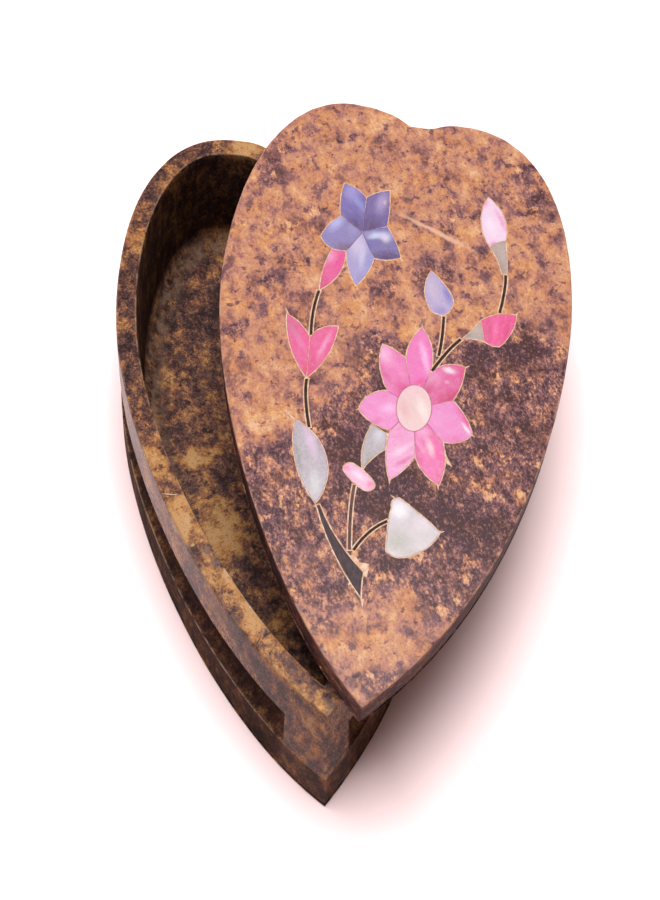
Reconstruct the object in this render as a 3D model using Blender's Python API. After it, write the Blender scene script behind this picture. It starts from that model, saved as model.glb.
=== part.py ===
"""Heart-shaped stone box with a loose lid, inlaid with flowers of mother-of-pearl.

Metres, +Z up. +Y runs from the tip of the heart to its lobes. The origin is on the underside,
midway between the tip and the lobes. The lid lies on the rim, pushed to the right and turned.
"""
import math
from dataclasses import dataclass

import bmesh
import bpy
from mathutils import Vector
from mathutils.geometry import delaunay_2d_cdt

# Plan of the heart, along the outer edge of the rim
HEART_WIDTH = 0.0720
HEART_LENGTH = 0.1390
CURVE_STEPS = 60
HALF_STEPS = 52

# Body: height, walls and edges
BODY_HEIGHT = 0.0365
WALL = 0.0043
FLOOR_THICKNESS = 0.0052
CAVITY_FILLET = 0.0045
FILLET_STEPS = 4
EDGE_EASE = 0.0004
BASE_SPREAD = 0.0013
NOTCH_FADE_STEPS = 3
PROW_RAKE = 0.0036

# Groove that a wheel cut along both sides of the body
GROOVE_WIDTH = 0.0122
GROOVE_MIDDLE_HEIGHT = 0.0175
GROOVE_DEPTH = 0.0025
GROOVE_STEPS = 10
GROOVE_END = 0.0050
PROW_SOLID_LEFT = 0.0105
PROW_SOLID_RIGHT = 0.0070
NOTCH_SOLID = 0.0060

# Lid, and how it lies on the rim
LID_THICKNESS = 0.0082
LID_OVERHANG = 0.0006
LID_SKEW = -0.12
LID_SHIFT_RIGHT = 0.0186
LID_SHIFT_BACK = -0.0023
LID_TURN = math.radians(-10.5)
SEAT_GAP = 0.0003

# Inlay
FILLER_LINE = 0.00036
SHELL_THICKNESS = 0.0009
BED_GAP = 0.0003
STEM_WIDTH = 0.0007
STEM_STEPS = 8
ARC_STEP_ANGLE = math.radians(9)
STRAIGHT_SWELL = 0.005
MITRE_LIMIT = 5.0
WELD_DISTANCE = 1e-7

SMOOTH_ANGLE = math.radians(32)

Plan = tuple[float, float]


@dataclass(frozen=True)
class Lobe:
    """One half of the heart. Sideways values are shares of its width, the others of its length.

    Each pull is the length of a curve's handle at the notch, the lobe's top, the widest place or
    the tip.
    """

    side: int
    notch_pull: float
    top_out: float
    top_up: float
    top_pull_in: float
    top_pull_out: float
    widest_up: float
    widest_pull_up: float
    widest_pull_down: float
    tip_pull_out: float
    tip_pull_up: float


NOTCH_UP = 0.975
LEFT_LOBE = Lobe(side=-1, notch_pull=0.010, top_out=0.169, top_up=1.0, top_pull_in=0.131,
                 top_pull_out=0.189, widest_up=0.639, widest_pull_up=0.215,
                 widest_pull_down=0.194, tip_pull_out=0.285, tip_pull_up=0.137)
RIGHT_LOBE = Lobe(side=1, notch_pull=0.125, top_out=0.189, top_up=0.994, top_pull_in=0.123,
                  top_pull_out=0.204, widest_up=0.683, widest_pull_up=0.184,
                  widest_pull_down=0.129, tip_pull_out=0.413, tip_pull_up=0.221)


@dataclass(frozen=True)
class Inlay:
    """A flat inlaid piece.

    corners run clockwise, in hundredths of the heart's width and length from the lid's middle.
    swells say how far the side after each corner curves outwards, as a share of its own length.
    """

    name: str
    finish: str
    corners: tuple[Plan, ...]
    swells: tuple[float, ...]


@dataclass(frozen=True)
class Flower:
    """A flower whose petals meet along seams, listed clockwise from the top petal.

    The tips and the clefts between the petals are in the same hundredths as an inlay's corners.
    A cleft follows its own petal. hub is the half width and half length of the middle piece.
    """

    name: str
    finishes: tuple[str, ...]
    centre: Plan
    hub: Plan
    tips: tuple[Plan, ...]
    clefts: tuple[Plan, ...]
    swells: tuple[Plan, ...]


@dataclass(frozen=True)
class Stem:
    """A thin dark stem through three points, in the same hundredths, and its relative width."""

    name: str
    path: tuple[Plan, Plan, Plan]
    width: float


BLUE_FLOWER = Flower(
    name="blue_petal",
    finishes=("violet_shell", "violet_shell", "blue_shell", "pale_blue_shell", "blue_shell"),
    centre=(-11.4, 26.0), hub=(0.0, 0.0),
    tips=((-18.1, 35.2), (-4.4, 34.5), (0.5, 21.9), (-11.8, 15.9), (-23.4, 24.6)),
    clefts=((-11.2, 32.7), (-4.2, 27.5), (-7.3, 21.3), (-15.5, 22.2), (-18.2, 28.8)),
    swells=((0.05, 0.09), (0.08, 0.02), (0.04, 0.11), (0.07, 0.06), (0.19, 0.08)))

PINK_FLOWER = Flower(
    name="pink_petal",
    finishes=("pink_shell",) * 7,
    centre=(7.5, -4.5), hub=(4.9, 3.9),
    tips=((8.1, 9.5), (21.0, 3.2), (24.0, -8.1), (15.7, -16.8), (2.3, -16.7), (-7.7, -5.6),
          (-2.7, 6.0)),
    clefts=((11.1, 1.4), (18.1, -2.7), (16.0, -9.7), (8.8, -12.5), (1.5, -8.5), (-0.1, -2.0),
            (4.3, 3.8)),
    swells=((0.09, 0.12), (0.19, 0.06), (0.07, 0.15), (0.08, 0.10), (0.05, 0.07), (0.11, 0.19),
            (0.09, 0.05)))

SHELL_PIECES = (
    Inlay("blue_flower_cup", "pink_shell",
          ((-19.7, 22.3), (-15.8, 22.1), (-22.1, 14.6)), (0.0, 0.14, 0.05)),
    Inlay("pink_leaf_left", "pink_shell",
          ((-30.6, 9.8), (-23.3, 5.8), (-23.0, -1.1)), (0.09, 0.0, 0.08)),
    Inlay("pink_leaf_right", "pink_shell",
          ((-23.3, 5.8), (-15.7, 8.3), (-23.0, -1.1)), (0.18, 0.09, 0.0)),
    Inlay("grey_leaf_left", "grey_shell",
          ((-24.8, -8.2), (-16.9, -21.4)), (0.22, 0.10)),
    Inlay("grey_leaf_middle", "grey_shell",
          ((-3.6, -7.7), (0.7, -9.2), (0.6, -11.7), (-5.2, -15.4)), (-0.05, 0.0, -0.05, 0.08)),
    Inlay("white_bud", "white_shell",
          ((3.5, -20.8), (5.3, -19.3), (16.8, -24.1), (7.6, -28.5), (2.9, -27.7)),
          (0.25, 0.02, 0.12, 0.14, 0.03)),
    Inlay("small_pink_bud", "rose_shell",
          ((-10.1, -15.9), (-7.4, -14.7), (-1.8, -17.2), (-4.7, -18.5)),
          (0.42, 0.06, 0.40, 0.06)),
    Inlay("blue_bud", "blue_shell",
          ((9.6, 19.9), (15.9, 15.8), (14.0, 12.0), (9.8, 13.2)), (0.05, 0.20, 0.16, 0.12)),
    Inlay("hot_pink_bud_cup", "grey_shell",
          ((19.8, 8.2), (24.7, 11.7), (26.0, 8.0)), (-0.03, 0.0, -0.04)),
    Inlay("hot_pink_bud", "hot_pink_shell",
          ((24.7, 11.7), (34.9, 13.2), (30.3, 7.3), (26.0, 8.0)), (0.11, 0.09, 0.10, 0.0)),
    Inlay("pale_pink_bud", "rose_shell",
          ((25.1, 34.9), (30.8, 26.8), (26.4, 25.4)), (0.14, -0.10, 0.13)),
    Inlay("pale_pink_bud_cup", "grey_shell",
          ((26.4, 25.4), (30.8, 26.8), (31.6, 20.6), (30.2, 20.5)), (0.10, 0.02, 0.0, -0.04)),
    Inlay("stem_3", "dark_stem",
          ((-16.9, -21.6), (-15.8, -21.3), (-2.6, -30.6), (-2.4, -34.6)),
          (0.0, -0.05, -0.03, 0.02)))

STEMS = (
    Stem("stem_1", ((-22.3, 14.2), (-23.2, 10.5), (-23.1, 6.6)), 1.0),
    Stem("stem_2", ((-22.9, -1.5), (-22.5, -4.8), (-20.9, -9.0)), 1.0),
    Stem("stem_4", ((-7.0, -18.1), (-7.3, -22.3), (-6.8, -27.5)), 1.1),
    Stem("stem_5", ((2.7, -23.1), (-1.6, -24.9), (-5.1, -27.5)), 1.2),
    Stem("stem_6", ((14.1, 11.6), (14.0, 8.2), (13.5, 5.3)), 1.1),
    Stem("stem_7", ((19.3, 8.0), (16.0, 5.8), (12.7, 2.9)), 1.2),
    Stem("stem_8", ((31.3, 20.2), (31.1, 17.3), (30.0, 13.3)), 1.1))

COLOURS = {
    "body_stone": (0.155, 0.096, 0.056, 0.42),
    "lid_stone": (0.400, 0.190, 0.090, 0.36),
    "violet_shell": (0.165, 0.150, 0.420, 0.25),
    "blue_shell": (0.330, 0.340, 0.700, 0.25),
    "pale_blue_shell": (0.550, 0.520, 0.780, 0.25),
    "pink_shell": (0.780, 0.180, 0.420, 0.25),
    "hot_pink_shell": (0.820, 0.080, 0.270, 0.25),
    "rose_shell": (0.900, 0.560, 0.700, 0.25),
    "grey_shell": (0.480, 0.470, 0.440, 0.25),
    "white_shell": (0.780, 0.760, 0.740, 0.25),
    "cream_shell": (0.850, 0.680, 0.560, 0.25),
    "dark_stem": (0.055, 0.048, 0.045, 0.45),
}


def cubic(a: Vector, b: Vector, c: Vector, d: Vector, steps: int) -> list[Vector]:
    """Points of a cubic curve from a to d, with handles b and c."""
    points = []
    for step in range(steps + 1):
        t = step / steps
        s = 1.0 - t
        points.append(a * s ** 3 + b * 3 * s * s * t + c * 3 * s * t * t + d * t ** 3)
    return points


def half_heart(lobe: Lobe) -> list[Vector]:
    """One half of the heart as a fine line from the notch to the tip."""

    def at(out: float, up: float) -> Vector:
        return Vector((lobe.side * out * HEART_WIDTH, (up - 0.5) * HEART_LENGTH))

    notch = at(0.0, NOTCH_UP)
    top = at(lobe.top_out, lobe.top_up)
    widest = at(0.5, lobe.widest_up)
    curves = (
        (notch, at(lobe.notch_pull, NOTCH_UP),
         at(lobe.top_out - lobe.top_pull_in, lobe.top_up), top),
        (top, at(lobe.top_out + lobe.top_pull_out, lobe.top_up),
         at(0.5, lobe.widest_up + lobe.widest_pull_up), widest),
        (widest, at(0.5, lobe.widest_up - lobe.widest_pull_down),
         at(lobe.tip_pull_out, lobe.tip_pull_up), at(0.0, 0.0)))
    line = [notch]
    for curve in curves:
        line += cubic(*curve, CURVE_STEPS)[1:]
    return line


def inset_half(line: list[Vector], side: int, inset: float) -> list[Vector]:
    """The half outline moved inwards by inset and cut off, or carried on, at the centre line."""
    moved = []
    for index, point in enumerate(line):
        ahead = line[min(index + 1, len(line) - 1)]
        behind = line[max(index - 1, 0)]
        along = (ahead - behind).normalized()
        moved.append(point + Vector((along.y, -along.x)) * side * inset)
    moved[0].x = 0.0
    for index in range(len(moved) // 2, len(moved)):
        if moved[index].x * side <= 0.0 or index == len(moved) - 1:
            before = moved[index - 1]
            along = moved[index] - before
            moved[index] = before - along * (before.x / along.x)
            moved[index].x = 0.0
            return moved[:index + 1]
    return moved


def resample(line: list[Vector], steps: int) -> list[Vector]:
    """The same line with its points evenly spaced."""
    reach = [0.0]
    for a, b in zip(line, line[1:]):
        reach.append(reach[-1] + (b - a).length)
    points = []
    index = 0
    for step in range(steps + 1):
        wanted = reach[-1] * step / steps
        while index < len(line) - 2 and reach[index + 1] < wanted:
            index += 1
        part = (wanted - reach[index]) / (reach[index + 1] - reach[index])
        points.append(line[index].lerp(line[index + 1], part))
    return points


def heart(inset: float = 0.0) -> list[Vector]:
    """Closed outline from the tip up the right side, round the notch and down the left."""
    halves = [resample(inset_half(half_heart(lobe), lobe.side, inset), HALF_STEPS)
              for lobe in (RIGHT_LOBE, LEFT_LOBE)]
    tip = (halves[0][-1] + halves[1][-1]) / 2
    return [tip] + halves[0][-2::-1] + halves[1][1:-1]


def outward(line: list[Vector]) -> list[Vector]:
    """Outward directions at the points of a counter-clockwise outline, mitred at its corners."""
    directions = []
    for index, point in enumerate(line):
        before = (point - line[index - 1]).normalized()
        after = (line[(index + 1) % len(line)] - point).normalized()
        along = (before + after).normalized()
        mitre = min(1.0 / max(along.dot(after), 1.0 / MITRE_LIMIT), MITRE_LIMIT)
        directions.append(Vector((along.y, -along.x)) * mitre)
    return directions


def spread(line: list[Vector], amounts: float | list[float]) -> list[Vector]:
    """The outline moved outwards by an amount for each point, or by one amount for all."""
    if isinstance(amounts, float):
        amounts = [amounts] * len(line)
    return [point + way * amount for point, way, amount in zip(line, outward(line), amounts)]


def ring(line: list[Vector], height: float) -> list[Vector]:
    """The outline's points at a height."""
    return [Vector((point.x, point.y, height)) for point in line]


def loft(bm: bmesh.types.BMesh, rings: list[list[Vector]]) -> bmesh.types.BMFace:
    """Extrudes a cap through the rings to a closed body, and gives back its last cap."""
    cap = bm.faces.new([bm.verts.new(point) for point in rings[0]])
    for points in rings[1:]:
        region = [cap] + cap.edges[:] + cap.verts[:]
        grown = bmesh.ops.extrude_face_region(bm, geom=region)["geom"]
        cap = next(item for item in grown if isinstance(item, bmesh.types.BMFace))
        for vert, point in zip(cap.verts, points):
            vert.co = point
    return cap


def run_in(distance: float, solid: float) -> float:
    """How much of its depth the groove has at a distance from the end of a side."""
    t = (distance - solid) / GROOVE_END
    if t <= 0.0:
        return 0.0
    return math.sqrt(1.0 - (1.0 - min(t, 1.0)) ** 2)


def groove_share(line: list[Vector]) -> list[float]:
    """The groove's share of its full depth at each point of the outline."""
    shares = []
    notch = len(line) // 2
    for side_points, first_solid, last_solid in (
            (line[:notch + 1], PROW_SOLID_RIGHT, NOTCH_SOLID),
            (line[notch:] + line[:1], NOTCH_SOLID, PROW_SOLID_LEFT)):
        reach = [0.0]
        for a, b in zip(side_points, side_points[1:]):
            reach.append(reach[-1] + (b - a).length)
        shares += [run_in(far, first_solid) * run_in(reach[-1] - far, last_solid)
                   for far in reach[:-1]]
    return shares


def body_wall(height: float) -> list[Vector]:
    """The body's outer outline at a height: spread and raked below, and cut by the groove."""
    line = heart()
    below = 1.0 - height / BODY_HEIGHT
    from_middle = (height - GROOVE_MIDDLE_HEIGHT) / (GROOVE_WIDTH / 2)
    depth = GROOVE_DEPTH * math.sqrt(max(0.0, 1.0 - from_middle ** 2))
    notch = len(line) // 2
    fade = [min(1.0, abs(index - notch) / NOTCH_FADE_STEPS) for index in range(len(line))]
    amounts = [BASE_SPREAD * below * faded - depth * share
               for faded, share in zip(fade, groove_share(line))]
    top = HEART_LENGTH / 2
    return [Vector((p.x, p.y - PROW_RAKE * below * (top - p.y) / HEART_LENGTH))
            for p in spread(line, amounts)]


def body_mesh(bm: bmesh.types.BMesh) -> None:
    """The hollow body: underside, outer wall, rim, cavity and its rounded foot."""
    heights = [EDGE_EASE]
    for step in range(GROOVE_STEPS + 1):
        turn = math.pi * step / GROOVE_STEPS
        heights.append(GROOVE_MIDDLE_HEIGHT - math.cos(turn) * GROOVE_WIDTH / 2)
    heights.append(BODY_HEIGHT - EDGE_EASE)
    rings = [ring(spread(body_wall(0.0), -EDGE_EASE), 0.0)]
    rings += [ring(body_wall(height), height) for height in heights]
    rings.append(ring(spread(heart(), -EDGE_EASE), BODY_HEIGHT))
    rings.append(ring(heart(WALL - EDGE_EASE), BODY_HEIGHT))
    rings.append(ring(heart(WALL), BODY_HEIGHT - EDGE_EASE))
    for step in range(FILLET_STEPS + 1):
        turn = math.pi / 2 * step / FILLET_STEPS
        inset = CAVITY_FILLET * (1.0 - math.cos(turn))
        drop = CAVITY_FILLET * (1.0 - math.sin(turn))
        rings.append(ring(heart(WALL + inset), FLOOR_THICKNESS + drop))
    loft(bm, rings)


def lid_outline() -> list[Vector]:
    """The lid's outline, which hangs a little over the rim and is slightly out of true."""
    return [Vector((p.x, p.y + LID_SKEW * p.x)) for p in spread(heart(), LID_OVERHANG)]


def on_lid(place: Plan) -> Vector:
    """A place on the lid, from hundredths of the heart's width and length."""
    return Vector((place[0] / 100 * HEART_WIDTH, place[1] / 100 * HEART_LENGTH))


def arc(a: Vector, b: Vector, swell: float) -> list[Vector]:
    """An arc from a up to but not with b. Its swell is to the left, as a share of a to b."""
    if abs(swell) < STRAIGHT_SWELL:
        return [a]
    turn = 4 * math.atan(2 * swell)
    steps = max(2, math.ceil(abs(turn) / ARC_STEP_ANGLE))
    chord = b - a
    left = Vector((-chord.y, chord.x))
    centre = (a + b) / 2 - left * ((1 - 4 * swell * swell) / (8 * swell))
    points = []
    for step in range(steps):
        angle = -turn * step / steps
        arm = a - centre
        points.append(centre + Vector((arm.x * math.cos(angle) - arm.y * math.sin(angle),
                                       arm.x * math.sin(angle) + arm.y * math.cos(angle))))
    return points


def sides(corners: list[Vector], swells: tuple[float, ...]) -> list[Vector]:
    """Counter-clockwise outline through clockwise corners, with a curved side after each."""
    line = []
    for index, corner in enumerate(corners):
        line += arc(corner, corners[(index + 1) % len(corners)], swells[index])
    return line[::-1]


def on_hub(centre: Vector, hub: Vector, way: float) -> Vector:
    """The point of a flower's oval hub in a direction."""
    return centre + Vector((hub.x * math.cos(way), hub.y * math.sin(way)))


def petal_outlines(flower: Flower) -> list[list[Vector]]:
    """The petals' outlines, each between two seams that run from the hub to the clefts."""
    centre = on_lid(flower.centre)
    hub = on_lid(flower.hub)
    outlines = []
    for index, tip in enumerate(flower.tips):
        start = on_lid(flower.clefts[index - 1])
        end = on_lid(flower.clefts[index])
        corners = [start, on_lid(tip), end]
        swells = list(flower.swells[index]) + [0.0]
        if hub.length == 0.0:
            corners.append(centre)
            swells.append(0.0)
        else:
            ways = [math.atan2((cleft - centre).y / hub.y, (cleft - centre).x / hub.x)
                    for cleft in (end, start)]
            turn = (ways[1] - ways[0]) % math.tau
            steps = math.ceil(turn / ARC_STEP_ANGLE)
            for step in range(steps + 1):
                corners.append(on_hub(centre, hub, ways[0] + turn * step / steps))
                swells.append(0.0)
        outlines.append(sides(corners, tuple(swells)))
    return outlines


def hub_outline(flower: Flower) -> list[Vector]:
    """The oval middle of a flower."""
    centre = on_lid(flower.centre)
    hub = on_lid(flower.hub)
    steps = math.ceil(math.tau / ARC_STEP_ANGLE)
    return [on_hub(centre, hub, math.tau * step / steps) for step in range(steps)]


def stem_outline(stem: Stem) -> list[Vector]:
    """A strip of even width along a curve through the stem's three points."""
    start, middle, end = (on_lid(place) for place in stem.path)
    handle = middle * 2 - (start + end) / 2
    line = []
    for step in range(STEM_STEPS + 1):
        t = step / STEM_STEPS
        line.append(start * (1 - t) ** 2 + handle * 2 * t * (1 - t) + end * t * t)
    half = (STEM_WIDTH * stem.width + FILLER_LINE) / 2
    right = []
    left = []
    for index, point in enumerate(line):
        along = (line[min(index + 1, STEM_STEPS)] - line[max(index - 1, 0)]).normalized()
        across = Vector((along.y, -along.x)) * half
        right.append(point + across)
        left.append(point - across)
    return right + left[::-1]


def inlay_outlines() -> dict[str, tuple[str, list[Vector]]]:
    """Every inlaid piece's finish and outline, drawn along the middle of its filler line."""
    pieces = {}
    for flower in (BLUE_FLOWER, PINK_FLOWER):
        for number, outline in enumerate(petal_outlines(flower), start=1):
            pieces[f"{flower.name}_{number}"] = (flower.finishes[number - 1], outline)
    pieces["pink_flower_centre"] = ("cream_shell", hub_outline(PINK_FLOWER))
    for piece in SHELL_PIECES:
        corners = [on_lid(corner) for corner in piece.corners]
        pieces[piece.name] = (piece.finish, sides(corners, piece.swells))
    for stem in STEMS:
        pieces[stem.name] = ("dark_stem", stem_outline(stem))
    return pieces


def lid_mesh(bm: bmesh.types.BMesh) -> None:
    """The lid: a slab with eased edges, and a recess in its top for each inlaid piece."""
    outline = lid_outline()
    inner = spread(outline, -EDGE_EASE)
    levels = [(inner, 0.0), (outline, EDGE_EASE), (outline, LID_THICKNESS - EDGE_EASE),
              (inner, LID_THICKNESS)]
    top = loft(bm, [ring(line, height) for line, height in levels])
    bmesh.ops.delete(bm, geom=[top], context="FACES_ONLY")
    loops = [inner] + [spread(line, FILLER_LINE / 2) for _, line in inlay_outlines().values()]
    points = [point for loop in loops for point in loop]
    faces = []
    for loop in loops:
        first = faces[-1][-1] + 1 if faces else 0
        faces.append(list(range(first, first + len(loop))))
    sheet = delaunay_2d_cdt(points, [], faces, 1, WELD_DISTANCE)
    places, _, triangles, _, _, triangle_loops = sheet
    verts = [bm.verts.new((co.x, co.y, LID_THICKNESS)) for co in places]
    recessed = []
    for corners, sources in zip(triangles, triangle_loops):
        face = bm.faces.new([verts[corner] for corner in corners])
        if any(source > 0 for source in sources):
            recessed.append(face)
    bmesh.ops.remove_doubles(bm, verts=bm.verts[:], dist=WELD_DISTANCE)
    recessed = [face for face in recessed if face.is_valid]
    rims = {edge for face in recessed for edge in face.edges}
    sunk = bmesh.ops.extrude_face_region(bm, geom=recessed + list(rims))["geom"]
    lowered = [item for item in sunk if isinstance(item, bmesh.types.BMVert)]
    drop = Vector((0.0, 0.0, -(SHELL_THICKNESS + BED_GAP)))
    bmesh.ops.translate(bm, verts=lowered, vec=drop)


def inlay_mesh(bm: bmesh.types.BMesh, outline: list[Vector]) -> None:
    """One inlaid piece, flush with the lid's top and half a filler line inside its outline."""
    line = spread(outline, -FILLER_LINE / 2)
    loft(bm, [ring(line, LID_THICKNESS - SHELL_THICKNESS), ring(line, LID_THICKNESS)])


def material(name: str) -> bpy.types.Material:
    """The named finish as a material, made once."""
    if name in bpy.data.materials:
        return bpy.data.materials[name]
    red, green, blue, roughness = COLOURS[name]
    made = bpy.data.materials.new(name)
    made.use_nodes = True
    shader = made.node_tree.nodes["Principled BSDF"]
    shader.inputs["Base Color"].default_value = (red, green, blue, 1.0)
    shader.inputs["Roughness"].default_value = roughness
    shader.inputs["Metallic"].default_value = 0.0
    made.diffuse_color = (red, green, blue, 1.0)
    return made


def add_object(name: str, finish: str, parent: bpy.types.Object, shape, *details) -> None:
    """Makes an object of a shape function's mesh, under the parent empty."""
    bm = bmesh.new()
    shape(bm, *details)
    bmesh.ops.triangulate(bm, faces=bm.faces[:])
    bmesh.ops.recalc_face_normals(bm, faces=bm.faces[:])
    mesh = bpy.data.meshes.new(name)
    bm.to_mesh(mesh)
    bm.free()
    mesh.materials.append(material(finish))
    mesh.shade_smooth()
    mesh.set_sharp_from_angle(angle=SMOOTH_ANGLE)
    made = bpy.data.objects.new(name, mesh)
    made.parent = parent
    bpy.context.scene.collection.objects.link(made)


def add_place(name: str, location: Vector, turn: float) -> bpy.types.Object:
    """An empty that places what is put under it."""
    place = bpy.data.objects.new(name, None)
    place.location = location
    place.rotation_euler = (0.0, 0.0, turn)
    bpy.context.scene.collection.objects.link(place)
    return place


def main() -> None:
    """Clears the scene and builds the box, its lid and the inlay."""
    for old in list(bpy.data.objects):
        bpy.data.objects.remove(old, do_unlink=True)
    body_place = add_place("body_place", Vector((0.0, 0.0, 0.0)), 0.0)
    lid_at = Vector((LID_SHIFT_RIGHT, LID_SHIFT_BACK, BODY_HEIGHT + SEAT_GAP))
    lid_place = add_place("lid_place", lid_at, LID_TURN)
    add_object("box_body", "body_stone", body_place, body_mesh)
    add_object("lid", "lid_stone", lid_place, lid_mesh)
    for name, (finish, outline) in inlay_outlines().items():
        add_object(name, finish, lid_place, inlay_mesh, outline)
    bpy.context.view_layer.update()


main()
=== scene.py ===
"""Looks of the heart-shaped stone box with its loose inlaid lid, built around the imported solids.

Metres, +Z up. +Y runs from the tip of the heart to its lobes. The origin is on the underside,
midway between the tip and the lobes. The lid lies on the rim, pushed to the right and turned.
"""
import logging
import math
from collections.abc import Sequence
from dataclasses import dataclass
from enum import Enum

import bmesh
import bpy
from mathutils import Matrix, Vector, noise

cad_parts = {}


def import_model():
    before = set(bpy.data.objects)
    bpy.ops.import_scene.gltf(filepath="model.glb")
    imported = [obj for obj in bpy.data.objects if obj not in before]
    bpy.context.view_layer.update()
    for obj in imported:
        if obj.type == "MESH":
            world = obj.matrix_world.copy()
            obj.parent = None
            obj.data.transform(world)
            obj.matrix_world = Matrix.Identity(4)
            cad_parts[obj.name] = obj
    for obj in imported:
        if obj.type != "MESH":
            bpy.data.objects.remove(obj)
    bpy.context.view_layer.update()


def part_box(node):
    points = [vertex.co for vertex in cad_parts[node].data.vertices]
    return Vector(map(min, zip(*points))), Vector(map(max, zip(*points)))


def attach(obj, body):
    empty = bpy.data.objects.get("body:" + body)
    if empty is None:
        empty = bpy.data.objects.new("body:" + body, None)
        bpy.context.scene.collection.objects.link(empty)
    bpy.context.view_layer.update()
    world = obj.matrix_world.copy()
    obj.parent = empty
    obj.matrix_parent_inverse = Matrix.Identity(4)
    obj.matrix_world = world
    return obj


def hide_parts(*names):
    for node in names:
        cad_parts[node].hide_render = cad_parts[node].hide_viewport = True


LOG = logging.getLogger("heart_box")
BODY = "root"
MM = 0.001
SMOOTH_ANGLE = math.radians(32)
ARRIS_ANGLE = math.radians(15)
FLAT_NORMAL = 0.999
MITRE_LIMIT = 5.0
ARC_STEP_ANGLE = math.radians(4)
STRAIGHT_SWELL = 0.005
STUDIO_LIGHT = 1.75
PALEST = 0.95
CUTTER_RISE = 1 * MM
RIM_UP = 36.5
LID_UP = 45.0
THROUGH = 60.0

Plan = tuple[float, float]
Place = tuple[float, float, float]
Colour = tuple[float, float, float]
Look = tuple[int, int, int]
Socket = bpy.types.NodeSocket


def seen(red: int, green: int, blue: int) -> Colour:
    """The surface colour that looks like these 8-bit display values in the studio's light.

    Args:
        red: Red, from 0 to 255.
        green: Green, from 0 to 255.
        blue: Blue, from 0 to 255.

    Returns:
        The linear surface colour.
    """
    linear = []
    for part in (red, green, blue):
        share = part / 255
        value = share / 12.92 if share <= 0.04045 else ((share + 0.055) / 1.055) ** 2.4
        linear.append(min(value / STUDIO_LIGHT, PALEST))
    return tuple(linear)


# Outlines


def cubic(a: Vector, b: Vector, c: Vector, d: Vector, steps: int) -> list[Vector]:
    """Points of a cubic curve from a to d, with handles b and c.

    Args:
        a: The start.
        b: The first handle.
        c: The second handle.
        d: The end.
        steps: How many parts the curve gets.

    Returns:
        The points, with both ends.
    """
    points = []
    for step in range(steps + 1):
        t = step / steps
        s = 1.0 - t
        points.append(a * s ** 3 + b * 3 * s * s * t + c * 3 * s * t * t + d * t ** 3)
    return points


def resample(line: list[Vector], steps: int) -> list[Vector]:
    """The same line with its points evenly spaced.

    Args:
        line: An open line.
        steps: How many parts it gets.

    Returns:
        The points, with both ends.
    """
    reach = [0.0]
    for a, b in zip(line, line[1:]):
        reach.append(reach[-1] + (b - a).length)
    points = []
    index = 0
    for step in range(steps + 1):
        wanted = reach[-1] * step / steps
        while index < len(line) - 2 and reach[index + 1] < wanted:
            index += 1
        part = (wanted - reach[index]) / (reach[index + 1] - reach[index])
        points.append(line[index].lerp(line[index + 1], part))
    return points


def refined(line: list[Vector], longest: float) -> list[Vector]:
    """A closed outline with points added, so that no side is longer than a length.

    Args:
        line: The outline.
        longest: The length.

    Returns:
        The finer outline.
    """
    points = []
    for index, point in enumerate(line):
        ahead = line[(index + 1) % len(line)]
        parts = max(1, math.ceil((ahead - point).length / longest))
        points += [point.lerp(ahead, part / parts) for part in range(parts)]
    return points


def outward(line: list[Vector]) -> list[Vector]:
    """Outward directions at the points of a counter-clockwise outline, mitred at its corners.

    Args:
        line: The outline.

    Returns:
        One direction for each point, longer at a corner.
    """
    directions = []
    for index, point in enumerate(line):
        before = (point - line[index - 1]).normalized()
        after = (line[(index + 1) % len(line)] - point).normalized()
        along = (before + after).normalized()
        mitre = min(1.0 / max(along.dot(after), 1.0 / MITRE_LIMIT), MITRE_LIMIT)
        directions.append(Vector((along.y, -along.x)) * mitre)
    return directions


def spread(line: list[Vector], amounts: float | Sequence[float]) -> list[Vector]:
    """The outline moved outwards by an amount for each point, or by one amount for all.

    Args:
        line: A counter-clockwise outline.
        amounts: How far; negative moves it inwards.

    Returns:
        The moved outline.
    """
    if isinstance(amounts, float):
        amounts = [amounts] * len(line)
    return [point + way * amount for point, way, amount in zip(line, outward(line), amounts)]


def clear_of(line: list[Vector], outline: list[Vector], distance: float) -> list[Vector]:
    """The points of a line that lie at least a distance from a closed outline's sides.

    Args:
        line: The points.
        outline: The outline.
        distance: The distance.

    Returns:
        The points that are kept, in their order.
    """
    kept = []
    for point in line:
        nearest = math.inf
        for a, b in zip(outline, outline[1:] + outline[:1]):
            side = b - a
            share = min(max((point - a).dot(side) / side.length_squared, 0.0), 1.0)
            nearest = min(nearest, (a + side * share - point).length)
        if nearest >= distance:
            kept.append(point)
    return kept


def arc(a: Vector, b: Vector, swell: float) -> list[Vector]:
    """An arc from a up to but not with b. Its swell is to the left, as a share of a to b.

    Args:
        a: The start.
        b: The end.
        swell: The arc's height over the length from a to b.

    Returns:
        The arc's points without b.
    """
    if abs(swell) < STRAIGHT_SWELL:
        return [a]
    turn = 4 * math.atan(2 * swell)
    steps = max(2, math.ceil(abs(turn) / ARC_STEP_ANGLE))
    chord = b - a
    left = Vector((-chord.y, chord.x))
    centre = (a + b) / 2 - left * ((1 - 4 * swell * swell) / (8 * swell))
    points = []
    for step in range(steps):
        angle = -turn * step / steps
        arm = a - centre
        points.append(centre + Vector((arm.x * math.cos(angle) - arm.y * math.sin(angle),
                                       arm.x * math.sin(angle) + arm.y * math.cos(angle))))
    return points


def sides(corners: list[Vector], swells: Sequence[float]) -> list[Vector]:
    """Counter-clockwise outline through clockwise corners, with a curved side after each.

    Args:
        corners: The corners.
        swells: The swell of the side after each corner.

    Returns:
        The outline.
    """
    line = []
    for index, corner in enumerate(corners):
        line += arc(corner, corners[(index + 1) % len(corners)], swells[index])
    return line[::-1]


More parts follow.
